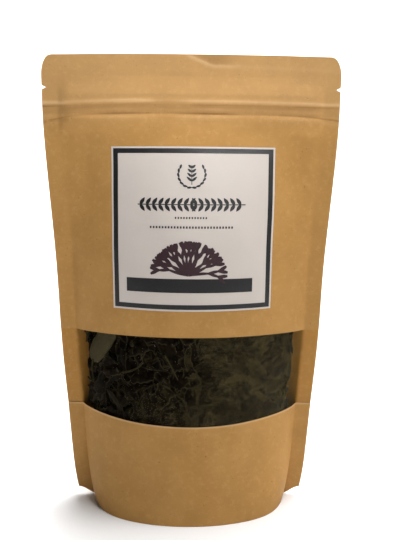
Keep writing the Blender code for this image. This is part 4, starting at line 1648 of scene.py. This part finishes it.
@dataclass
class SeaweedHeap:
    """Cut, curled bits of dried frond, layer on layer, round a rough dark middle."""

    seed: int = 17
    half_field: float = 0.0555
    reaches: tuple[float, float] = (0.0556, 0.0535)
    edge_power: float = 12.0
    tip: tuple[float, float] = (-0.0440, 0.0800)
    tip_reach: float = 0.0095
    tip_room: float = 0.0040
    lean_below: float = 0.068
    low_lean: float = 1.0
    field_low: float = 0.031
    field_high: float = 0.099
    core_depth: float = 0.0085
    core_low: float = 0.010
    core_high: float = 0.094
    heap_floor: float = 0.012
    near_edge: Range = (-0.010, 0.012)
    near_scatter: float = 0.008
    near_depths: tuple[float, float] = (1.35, 0.65)
    near_tones: tuple[float, float] = (0.42, 0.46)
    seen_across: float = 0.052
    seen_up: Range = (0.044, 0.089)
    golden: float = 0.6180339887
    spot_scatter: float = 0.002
    tilts: tuple[float, float] = (0.7, 0.35)
    gaps: float = 0.0009
    rim_shares: tuple[float, float] = (0.45, 0.55)
    stem_lengths: Range = (0.008, 0.019)
    stem_bends: Range = (-1.5, 1.5)
    stem_radii: Range = (0.00028, 0.00060)
    stem_knots: tuple[float, float] = (0.15, 17.0)
    stem_taper: tuple[float, float] = (1.1, 0.4)
    stem_depths: Range = (0.0004, 0.0026)
    stem_tones: Range = (0.3, 1.0)
    stem_tilt: float = 0.15
    stem_rim: float = 0.15
    girth_power: float = 0.45
    swollen_rim: float = 0.42
    bladder_lengths: Range = (0.0026, 0.0044)
    bladder_depths: Range = (0.0012, 0.0030)
    bladder_tones: Range = (0.1, 0.75)
    bladder_shares: tuple[float, float] = (0.72, 0.5)
    bladder_warts: float = 0.06
    pair_share: float = 0.35
    pair_gap: float = 0.42
    tip_sizes: tuple[float, float, float] = (0.0225, 0.0100, 0.0040)
    grain_sizes: Range = (0.00007, 0.00017)
    core_grid: tuple[int, int] = (128, 64)
    core_lumps: float = 0.0016
    core_pits: float = 0.0008
    core_wrap: float = 0.03
    least_gap: float = 0.0002
    soft_floor: float = 0.00025
    room_share: float = 1.7
    least_room: float = 0.0008
    marks: tuple[str, str] = ("tone", "rim")
    draw: np.random.Generator = field(init=False)
    material: bpy.types.Material = field(init=False)

    def __post_init__(self) -> None:
        """Start the heap's own stream of random numbers, and write its material."""
        self.draw = np.random.default_rng(self.seed)
        self.material = SeaweedFinish().build()

    def span(self, low: float, high: float) -> float:
        """One random number between two bounds."""
        return float(self.draw.uniform(low, high))

    def form(self, kind: PieceKind) -> BladeForm:
        """Draw the form of one bit.

        Args:
            kind: Its kind.

        Returns:
            Its sizes and curl.
        """
        span = self.span
        lengths, widths, rolls = {
            PieceKind.PLATE: ((0.0080, 0.0150), (0.0058, 0.0100), (-0.9, 1.3)),
            PieceKind.RIBBON: ((0.0095, 0.0200), (0.0020, 0.0036), (0.2, 1.5)),
            PieceKind.ROLL: ((0.0070, 0.0150), (0.0034, 0.0060), (2.0, 3.2)),
            PieceKind.FORK: ((0.0090, 0.0150), (0.0060, 0.0092), (-0.5, 1.0)),
            PieceKind.CRUMB: ((0.0012, 0.0036), (0.0008, 0.0024), (-0.8, 0.8)),
        }[kind]
        length = span(*lengths)
        return BladeForm(
            length=length,
            width=span(*widths),
            roll=span(*rolls),
            skew=span(-0.6, 0.6),
            bend=span(-1.9, 1.9) if kind in (PieceKind.RIBBON, PieceKind.ROLL) else span(-0.6, 0.6),
            arch=span(-0.10, 0.16),
            ripple=span(0.0, 0.00055),
            blunt=span(2.6, 7.0),
            rib=span(0.0, 0.00035) if kind in (PieceKind.PLATE, PieceKind.FORK) else 0.0,
            notch=span(0.25, 0.45) if kind is PieceKind.FORK else 0.0,
            taper=span(-0.35, 0.35),
            phase=span(0.0, 6.3),
        )

    def blade(self, form: BladeForm, rows: int, columns: int) -> tuple[Array, Array, Array]:
        """Shape one bit in its own space: along it, across it and up from it.

        Args:
            form: Its sizes and curl.
            rows: Points along it.
            columns: Points across it.

        Returns:
            Grids of its outer and inner points, and of the paleness of its rim.
        """
        a = np.linspace(0, 1, rows)[:, None]
        b = np.linspace(-1, 1, columns)[None, :]
        profile = np.maximum(1 - np.abs(2 * a - 1) ** form.blunt, 0.0) ** (1 / form.blunt)
        profile = np.maximum(profile, form.least_end) * (1 + form.taper * (2 * a - 1))
        ragged = 1.0
        for height, waves, shift, lean in form.ragged_waves:
            ragged = ragged + height * np.sin(waves * a + shift * form.phase + lean * b)
        half = form.width / 2 * profile * ragged
        middle_b = (b[:, 1:] + b[:, :-1]) / 2
        curl = form.roll * (middle_b + form.skew * middle_b ** 2)
        least_curl, swing, waves = form.curl_waves
        curl = curl * (least_curl + swing * np.sin(waves * a + form.phase))
        step = half[:, 1:] * (b[:, 1:] - b[:, :-1])
        zero = np.zeros((rows, 1))
        q = np.concatenate((zero, np.cumsum(np.cos(curl) * step, axis=1)), axis=1)
        h = np.concatenate((zero, np.cumsum(np.sin(curl) * step, axis=1)), axis=1)
        centre = columns // 2
        q, h = q - q[:, centre:centre + 1], h - h[:, centre:centre + 1]
        turn = form.bend * (a - 0.5)
        pull = form.notch * form.length * np.exp(-(b / form.notch_width) ** 2)
        pull = pull * smoothstep(*form.notch_reach, a)
        p = np.cumsum(np.cos(turn), axis=0) * form.length / rows - form.length / 2
        line = np.cumsum(np.sin(turn), axis=0) * form.length / rows
        p, q = p - q * np.sin(turn) - pull, line + q * np.cos(turn)
        h = h + form.arch * form.length * (1 - (2 * a - 1) ** 2)
        h = h + form.ripple * b ** 2 * np.sin(form.ripple_waves * a + form.phase)
        h = h + form.rib * np.exp(-(b / form.rib_width) ** 2)
        middle = np.stack((p, q, h), axis=-1)
        normal = np.cross(np.gradient(middle, axis=0), np.gradient(middle, axis=1))
        normal /= np.linalg.norm(normal, axis=-1, keepdims=True) + 1e-12
        at_middle, loss = form.thickness_shares
        thick = form.thickness / 2 * (at_middle - loss * b ** 2)[..., None] * np.ones((rows, 1, 1))
        at_sides = smoothstep(*form.side_rim, np.abs(b))
        rim = np.maximum(at_sides, smoothstep(*form.end_rim, np.abs(2 * a - 1)))
        return middle + normal * thick, middle - normal * thick, rim

    def rest(self, points: Array, resting: Resting) -> Array:
        """Turn points from a bit's own space to across, up and depth behind a web.

        Args:
            points: Points along, across and up from the bit.
            resting: Where the bit lies.

        Returns:
            Rows of u, v and depth, where no depth is less than the nearest one.
        """
        tilt = Matrix.Rotation(resting.roll, 3, "X") @ Matrix.Rotation(resting.pitch, 3, "Y")
        turned = points @ np.array(tilt).T
        cos, sin = math.cos(resting.heading), math.sin(resting.heading)
        u = resting.u + turned[..., 0] * cos - turned[..., 1] * sin
        v = resting.v + turned[..., 0] * sin + turned[..., 1] * cos
        beyond = resting.depth - turned[..., 2] - resting.nearest
        depth = resting.nearest + (beyond + np.sqrt(beyond ** 2 + self.soft_floor ** 2)) / 2
        return np.stack((u, v, depth), axis=-1)

    def behind(self, web: Web, places: Array) -> Array:
        """Turn across, up and depth into points in the pouch, kept inside its narrow sides.

        Args:
            web: The web that the depths start from.
            places: Rows of u, v and depth.

        Returns:
            Points along the last axis.
        """
        reach = places[..., 0] / np.where(places[..., 0] < 0, self.reaches[0], self.reaches[1])
        u = places[..., 0] / (1 + np.abs(reach) ** self.edge_power) ** (1 / self.edge_power)
        v = np.maximum(places[..., 1], self.heap_floor)
        room = np.maximum(np.abs(SHAPE.point(u, v, web.side)[..., 1]) * self.room_share, self.least_room)
        depth = room * (1 - np.exp(-places[..., 2] / room))
        return web.place(u, v, -depth)

    def lay(self, batch: MeshBatch, web: Web, form: BladeForm, resting: Resting, tone: float,
            steps: tuple[int, int]) -> None:
        """Lay one bit of frond behind a web.

        Args:
            batch: Where the bits are gathered.
            web: The web.
            form: The bit's form.
            resting: Where it lies.
            tone: Its colour, from 0 black to 1 pale olive.
            steps: Points along and across it.
        """
        outer, inner, rim = self.blade(form, *steps)
        outer = self.behind(web, self.rest(outer, resting))
        inner = self.behind(web, self.rest(inner, resting))
        least_rim, rise = self.rim_shares
        batch.add_sheet(outer, inner, tone=tone, rim=rim * (least_rim + rise * min(tone, 1.0)))

    def layer(self, name: str, web: Web, count: int, depths: Range, kinds: tuple[PieceKind, ...],
              tones: Range, steps: tuple[int, int]) -> bpy.types.Object:
        """Scatter one layer of bits.

        Args:
            name: The piece's name.
            web: The web behind which they lie.
            count: How many.
            depths: Range of their depths.
            kinds: Kinds to draw from.
            tones: Range of their tones.
            steps: Points along and across each.

        Returns:
            The piece.
        """
        batch = MeshBatch(self.marks)
        for number in range(count):
            spot_u = ((number * self.golden) % 1.0 * 2 - 1) * self.half_field
            spot_u += self.span(-self.spot_scatter, self.spot_scatter)
            spot_v = self.field_low + (self.field_high - self.field_low) * ((number + 0.5) / count)
            kind = kinds[int(self.draw.integers(len(kinds)))]
            pressed = spot_u + self.low_lean * max(0.0, self.lean_below - spot_v)
            scatter = self.span(-self.near_scatter, self.near_scatter)
            near = float(smoothstep(*self.near_edge, np.array(pressed + scatter)))
            far_share, fall = self.near_depths
            depth = self.span(*depths) * (far_share - fall * near)
            if math.dist((spot_u, spot_v), self.tip) < self.tip_reach:
                depth += self.tip_room
            least_tone, rise = self.near_tones
            tone = self.span(*tones) * (least_tone + rise * near)
            heading = self.span(0, 2 * math.pi)
            roll, pitch = (self.span(-most, most) for most in self.tilts)
            gap = self.least_gap + self.span(0.0, self.gaps)
            resting = Resting(spot_u, spot_v, depth, heading, roll, pitch, gap)
            self.lay(batch, web, self.form(kind), resting, tone, steps)
        return batch.build(name, (self.material,) * 3, 60.0)

    def stems(self, count: int = 46) -> bpy.types.Object:
        """Scatter bits of bare midrib.

        Args:
            count: How many.

        Returns:
            The piece.
        """
        batch = MeshBatch(self.marks)
        rings, around = 15, 8
        share = np.linspace(0, 1, rings)[:, None]
        angle = np.linspace(0, 2 * math.pi, around, endpoint=False)[None, :]
        for _ in range(count):
            length, bend = self.span(*self.stem_lengths), self.span(*self.stem_bends)
            (knot, knots), (thick, loss) = self.stem_knots, self.stem_taper
            radius = self.span(*self.stem_radii) * (1 + knot * np.sin(knots * share + self.span(0, 6)))
            radius = radius * (thick - loss * share)
            turn = bend * (share - 0.5)
            p = np.cumsum(np.cos(turn), axis=0) * length / rings - length / 2
            q = np.cumsum(np.sin(turn), axis=0) * length / rings
            beside, above = np.cos(angle) * radius, np.sin(angle) * radius
            ring = np.stack((p - beside * np.sin(turn), q + beside * np.cos(turn), above), axis=-1)
            tips = ((p[0, 0] - self.least_gap, q[0, 0], 0.0), (p[-1, 0] + self.least_gap, q[-1, 0], 0.0))
            place, depth = self.seen_place(), self.span(*self.stem_depths)
            heading, pitch = self.span(0, 2 * math.pi), self.span(-self.stem_tilt, self.stem_tilt)
            resting = Resting(*place, depth, heading, 0.0, pitch, self.least_gap)
            tone = self.span(*self.stem_tones)
            self.lay_tube(batch, ring, np.array(tips), resting, tone=tone, rim=self.stem_rim)
        return batch.build("seaweed_midribs", (self.material,))

    def seen_place(self) -> tuple[float, float]:
        """Draw a place across and up that shows in the window."""
        return self.span(-self.seen_across, self.seen_across), self.span(*self.seen_up)

    def lay_tube(self, batch: MeshBatch, rings: Array, ends: Array, resting: Resting,
                 **marks: float) -> None:
        """Lay a closed tube behind the front web.

        Args:
            batch: Where the bits are gathered.
            rings: Points of its rings, as a grid, in its own space.
            ends: Its two end points.
            resting: Where it lies.
            **marks: A number for every mark name.
        """
        placed = (self.behind(FRONT_WEB, self.rest(points, resting)) for points in (rings, ends))
        batch.add_tube(*placed, **marks)

    def swelling(self, batch: MeshBatch, resting: Resting, length: float, width: float, height: float,
                 tone: float, warts: float) -> None:
        """Lay one swollen, closed part: a bladder or a ripe tip.

        Args:
            batch: Where the parts are gathered.
            resting: Where it lies.
            length: Its length.
            width: Its width.
            height: Its height.
            tone: Its colour.
            warts: Height of its warts.
        """
        rings, around = 15, 18
        share = (np.arange(rings)[:, None] + 0.5) / rings
        angle = np.linspace(0, 2 * math.pi, around, endpoint=False)[None, :]
        girth = np.sin(math.pi * share) ** self.girth_power
        bumps = 1 + warts * np.sin(9 * share * 3 + 3 * np.sin(5 * angle)) * np.sin(6 * angle + 11 * share)
        p = (0.5 - 0.5 * np.cos(math.pi * share)) * length - length / 2 + 0.0 * angle
        q = np.cos(angle) * width / 2 * girth * bumps
        h = np.sin(angle) * height / 2 * girth * bumps
        ends = np.array(((-length / 2, 0.0, 0.0), (length / 2, 0.0, 0.0)))
        ring = np.stack((p, q, h), axis=-1)
        self.lay_tube(batch, ring, ends, resting, tone=tone, rim=self.swollen_rim * tone)

    def swellings(self, count: int = 34) -> bpy.types.Object:
        """Scatter small air bladders, single or in pairs, with one large ripe tip at the upper left.

        Args:
            count: How many places get a bladder.

        Returns:
            The piece.
        """
        batch = MeshBatch(self.marks)
        for _ in range(count):
            (u, v), heading = self.seen_place(), self.span(0, 2 * math.pi)
            length, depth = self.span(*self.bladder_lengths), self.span(*self.bladder_depths)
            for side in (-1, 1) if self.draw.random() < self.pair_share else (0,):
                beside = side * length * self.pair_gap
                place = (u - beside * math.sin(heading), v + beside * math.cos(heading))
                resting = Resting(*place, depth, heading, 0.0, self.span(-0.2, 0.2), 0.00025)
                sizes = (length, *(length * share for share in self.bladder_shares))
                self.swelling(batch, resting, *sizes, self.span(*self.bladder_tones), self.bladder_warts)
        tip = Resting(*self.tip, 0.0021, 0.88, 0.0, 0.0, 0.0001)
        self.swelling(batch, tip, *self.tip_sizes, 2.0, self.bladder_warts / 2)
        return batch.build("seaweed_bladders", (self.material,))

    def keepsakes(self) -> bpy.types.Object:
        """Lay the few large bits that show plainly through the film.

        Returns:
            The piece.
        """
        batch = MeshBatch(self.marks)
        plain = dict(skew=0.1, arch=0.02, ripple=0.0002, notch=0.0, phase=1.0)
        bits = (
            (BladeForm(0.0120, 0.0078, 0.60, bend=0.1, blunt=6.0, rib=0.0004, taper=-0.75, **plain),
             Resting(-0.0180, 0.0765, 0.0016, 1.50, 0.2, 0.1, 0.0004), 0.50),
            (BladeForm(0.0090, 0.0060, 0.5, bend=0.0, blunt=2.4, rib=0.0003, taper=0.05, **plain),
             Resting(0.0005, 0.0590, 0.0008, 1.62, 0.0, 0.0, 0.0003), 0.30),
            (BladeForm(0.0062, 0.0058, -0.5, bend=0.3, blunt=2.6, rib=0.0, taper=0.2, **plain),
             Resting(0.0015, 0.0675, 0.0007, 0.4, 0.1, 0.0, 0.0003), 1.25),
            (BladeForm(0.0130, 0.0080, 0.8, bend=0.4, blunt=3.4, rib=0.0004, taper=0.3, **plain),
             Resting(0.0245, 0.0720, 0.0016, 1.9, 0.3, 0.1, 0.0003), 0.50),
            (BladeForm(0.0170, 0.0034, 1.2, bend=1.6, blunt=5.0, rib=0.0, taper=-0.2, **plain),
             Resting(0.0225, 0.0640, 0.0005, 2.9, 0.2, 0.0, 0.0002), 1.10),
            (BladeForm(0.0105, 0.0066, 0.9, bend=0.3, blunt=3.0, rib=0.0004, taper=0.1, **plain),
             Resting(-0.0215, 0.0555, 0.0016, 0.9, 0.2, 0.2, 0.0003), 0.40),
            (BladeForm(0.0120, 0.0036, 1.6, bend=1.9, blunt=6.0, rib=0.0, taper=0.0, **plain),
             Resting(0.0430, 0.0740, 0.0005, 0.7, 0.3, 0.0, 0.0002), 1.25),
        )
        for form, resting, tone in bits:
            self.lay(batch, FRONT_WEB, form, resting, tone, (20, 13))
        return batch.build("seaweed_large_bits", (self.material,) * 3, 60.0)

    def grains(self, count: int = 48) -> bpy.types.Object:
        """Scatter salt grains among the bits.

        Args:
            count: How many.

        Returns:
            The piece.
        """
        batch = MeshBatch()
        corners = np.array(((1, 0, 0), (0, 1, 0), (-1, 0, 0), (0, -1, 0)), float)
        for _ in range(count):
            size = self.span(*self.grain_sizes)
            shape = corners[None] * size * self.draw.uniform(0.6, 1.2, (1, 4, 1))
            ends = np.array(((0, 0, -size), (0, 0, size)))
            resting = Resting(float(self.draw.normal(0.008, 0.020)), self.span(0.047, 0.086),
                              self.span(0.0003, 0.0015), self.span(0, 6.3), 0.0, 0.0, 0.0001)
            self.lay_tube(batch, shape, ends, resting)
        return batch.build("seaweed_salt_grains", (SALT.build(),))

    def core(self) -> bpy.types.Object:
        """Make the rough dark middle of the heap, which fills the pouch under the loose bits.

        Returns:
            The piece.
        """
        around, rings = self.core_grid
        share = (np.arange(rings)[:, None] + 0.5) / rings
        turn = np.linspace(0, 2 * math.pi, around, endpoint=False)[None, :]
        v = self.core_low + (self.core_high - self.core_low) * share
        half_angle = SHAPE.half_angle(v)
        radius = SHAPE.inner_half / half_angle
        widest = radius * np.sin(half_angle)
        lumps = Waves(self.seed + 1, 0.006, 0.020, 30)
        pits = Waves(3, 0.002, 0.005, 30)
        wrapped = turn * self.core_wrap
        inset = self.core_depth + self.core_lumps * lumps(wrapped, v) + self.core_pits * pits(wrapped, v)
        fullness = (1 - np.abs(2 * share - 1) ** 5) ** 0.25
        x = widest * np.cos(turn)
        out = np.sqrt(radius ** 2 - x ** 2) - radius * np.cos(half_angle)
        y = np.copysign(out, np.sin(turn)) * (1 - inset / SHAPE.bulge(v)) * fullness
        x = x * (1 - inset / widest) * fullness
        z = SHAPE.centre_height(v) + 0.0 * turn
        rings_grid = np.stack((x, y, z), axis=-1)
        ends = np.array(((0.0, 0.0, z[0, 0] - 0.0004), (0.0, 0.0, z[-1, 0] + 0.0004)))
        batch = MeshBatch(self.marks)
        batch.add_tube(rings_grid, ends, tone=0.0, rim=0.0)
        return batch.build("seaweed_middle", (self.material,))

    def build(self) -> None:
        """Make and dress the whole heap."""
        slot = "dried_seaweed"
        settle(self.core(), slot, "dried_bladderwrack")
        plates = (PieceKind.PLATE, PieceKind.PLATE, PieceKind.FORK, PieceKind.ROLL)
        mixed = (PieceKind.PLATE, PieceKind.PLATE, PieceKind.RIBBON, PieceKind.ROLL, PieceKind.FORK)
        crumbs = (PieceKind.CRUMB,)
        layers = (
            ("seaweed_back", BACK_WEB, 150, (0.002, 0.007), plates, (0.0, 0.6), (6, 5)),
            ("seaweed_deep", FRONT_WEB, 240, (0.0045, 0.0085), plates, (0.0, 0.45), (8, 6)),
            ("seaweed_inner", FRONT_WEB, 280, (0.0022, 0.0048), mixed, (0.0, 0.75), (11, 7)),
            ("seaweed_outer", FRONT_WEB, 215, (0.0006, 0.0022), mixed, (0.1, 1.0), (16, 9)),
            ("seaweed_crumbs", FRONT_WEB, 420, (0.0008, 0.0045), crumbs, (0.0, 1.0), (5, 4)),
        )
        for layer in layers:
            settle(self.layer(*layer), slot)
        for scatter in (self.stems, self.swellings, self.keepsakes, self.grains):
            settle(scatter(), slot)


@dataclass
class ZipStrips:
    """Press-to-close zip inside the pouch, carried over from the frame."""

    nodes: tuple[str, str] = ("zip_groove_strip", "zip_rib_strip")

    def build(self) -> None:
        """Dress both strips."""
        plastic = PlasticFinish().build()
        for name in self.nodes:
            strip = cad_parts[name]
            strip.data.materials.clear()
            strip.data.materials.append(plastic)
            LOG.info("%s: dressed", name)


# Studio


@dataclass(frozen=True)
class Viewpoint:
    """Camera at the photograph's angle, with pixels of its 405 x 540 frame."""

    distance: float = 0.3414
    pitch: float = math.radians(12.827)
    yaw: float = math.radians(0.942)
    roll: float = math.radians(-0.573)
    focal_pixels: float = 743.3
    middle: tuple[float, float] = (203.1, 278.7)
    target: tuple[float, float, float] = (0.0058, 0.0, 0.1081)
    frame_size: tuple[float, float] = (405.0, 540.0)
    sensor: float = 36.0

    def build(self) -> None:
        """Make the camera."""
        level = math.cos(self.pitch)
        ahead = Vector((math.sin(self.yaw) * level, math.cos(self.yaw) * level, -math.sin(self.pitch)))
        right = Vector((math.cos(self.yaw), -math.sin(self.yaw), 0.0))
        up = right.cross(ahead)
        cos, sin = math.cos(self.roll), math.sin(self.roll)
        right, up = right * cos - up * sin, right * sin + up * cos
        data = bpy.data.cameras.new("camera")
        camera = bpy.data.objects.new("camera", data)
        bpy.context.scene.collection.objects.link(camera)
        place = Vector(self.target) - ahead * self.distance
        camera.matrix_world = Matrix((
            (right.x, up.x, -ahead.x, place.x),
            (right.y, up.y, -ahead.y, place.y),
            (right.z, up.z, -ahead.z, place.z),
            (0.0, 0.0, 0.0, 1.0),
        ))
        width, height = self.frame_size
        data.sensor_fit = "VERTICAL"
        data.sensor_height = self.sensor
        data.lens = self.focal_pixels * self.sensor / height
        data.shift_x = (width / 2 - self.middle[0]) / height
        data.shift_y = (self.middle[1] - height / 2) / height
        data.clip_start = 0.01
        bpy.context.scene.camera = camera


@dataclass(frozen=True)
class Softbox:
    """Square soft light that points at the pouch."""

    name: str
    place: tuple[float, float, float]
    size: float
    power: float
    colour: Colour = (1.0, 1.0, 1.0)
    aim: tuple[float, float, float] = (0.0, 0.0, 0.10)
    spread: float = math.pi

    def build(self) -> None:
        """Make the light."""
        data = bpy.data.lights.new(self.name, "AREA")
        data.shape = "SQUARE"
        data.size = self.size
        data.energy = self.power
        data.color = self.colour
        data.spread = self.spread
        light = bpy.data.objects.new(self.name, data)
        light.location = self.place
        light.rotation_euler = (Vector(self.aim) - Vector(self.place)).to_track_quat("-Z", "Y").to_euler()
        bpy.context.scene.collection.objects.link(light)


@dataclass
class Studio:
    """Pale floor, soft lights and the camera."""

    floor_near: float = -0.9
    wall_place: float = 1.1
    wall_height: float = 1.6
    half_width: float = 2.2
    sweep_radius: float = 0.5
    sweep_steps: int = 17
    sky: Colour = (1.0, 1.0, 1.0)
    sky_strength: float = 0.07
    softboxes: tuple[Softbox, ...] = (
        Softbox("key_softbox", (0.42, -0.42, 0.46), 0.24, 0.66, (1.0, 0.96, 0.90)),
        Softbox("header_softbox", (0.08, -0.32, 0.33), 0.10, 0.037, (0.98, 0.98, 1.0),
                (0.0, 0.0, 0.212), math.radians(38)),
        Softbox("top_softbox", (0.22, 0.10, 0.95), 0.50, 15.0, (1.0, 1.0, 1.0), (0.0, 0.0, 0.0)),
        Softbox("wall_softbox", (0.0, 0.55, 1.00), 0.60, 19.0, (1.0, 1.0, 1.0), (0.0, 1.1, 0.45)),
    )

    def build(self) -> None:
        """Make the floor, the sky, the lights and the camera."""
        turn = np.linspace(0, math.pi / 2, self.sweep_steps)
        sweep = self.wall_place - self.sweep_radius * (1 - np.sin(turn))
        depth = np.concatenate(((self.floor_near,), sweep, (self.wall_place,)))
        height = np.concatenate(((0.0,), self.sweep_radius * (1 - np.cos(turn)), (self.wall_height,)))
        corners = [(side * self.half_width, y, z) for y, z in zip(depth, height) for side in (-1, 1)]
        mesh = bpy.data.meshes.new("studio_floor")
        mesh.from_pydata(corners, [], [(k, k + 1, k + 3, k + 2) for k in range(0, len(corners) - 2, 2)])
        mesh.shade_smooth()
        mesh.materials.append(MATT_FLOOR.build())
        floor = bpy.data.objects.new("studio_floor", mesh)
        bpy.context.scene.collection.objects.link(floor)
        world = bpy.data.worlds.new("studio_sky")
        world.use_nodes = True
        sky = world.node_tree.nodes["Background"]
        sky.inputs["Color"].default_value = (*self.sky, 1.0)
        sky.inputs["Strength"].default_value = self.sky_strength
        bpy.context.scene.world = world
        bpy.context.scene.view_settings.view_transform = "Standard"
        for softbox in self.softboxes:
            softbox.build()
        Viewpoint().build()


def main() -> None:
    """Build the pouch from its webs inwards, and then the studio."""
    logging.basicConfig(level=logging.INFO, format="%(message)s")
    assemblies = (PaperWebs(), WindowFilm(), FoldedBase(), Label(), SeaweedHeap(), ZipStrips(), Studio())
    for assembly in assemblies:
        assembly.build()
        LOG.info("%s is built", type(assembly).__name__)


if __name__ == "__main__":
    main()
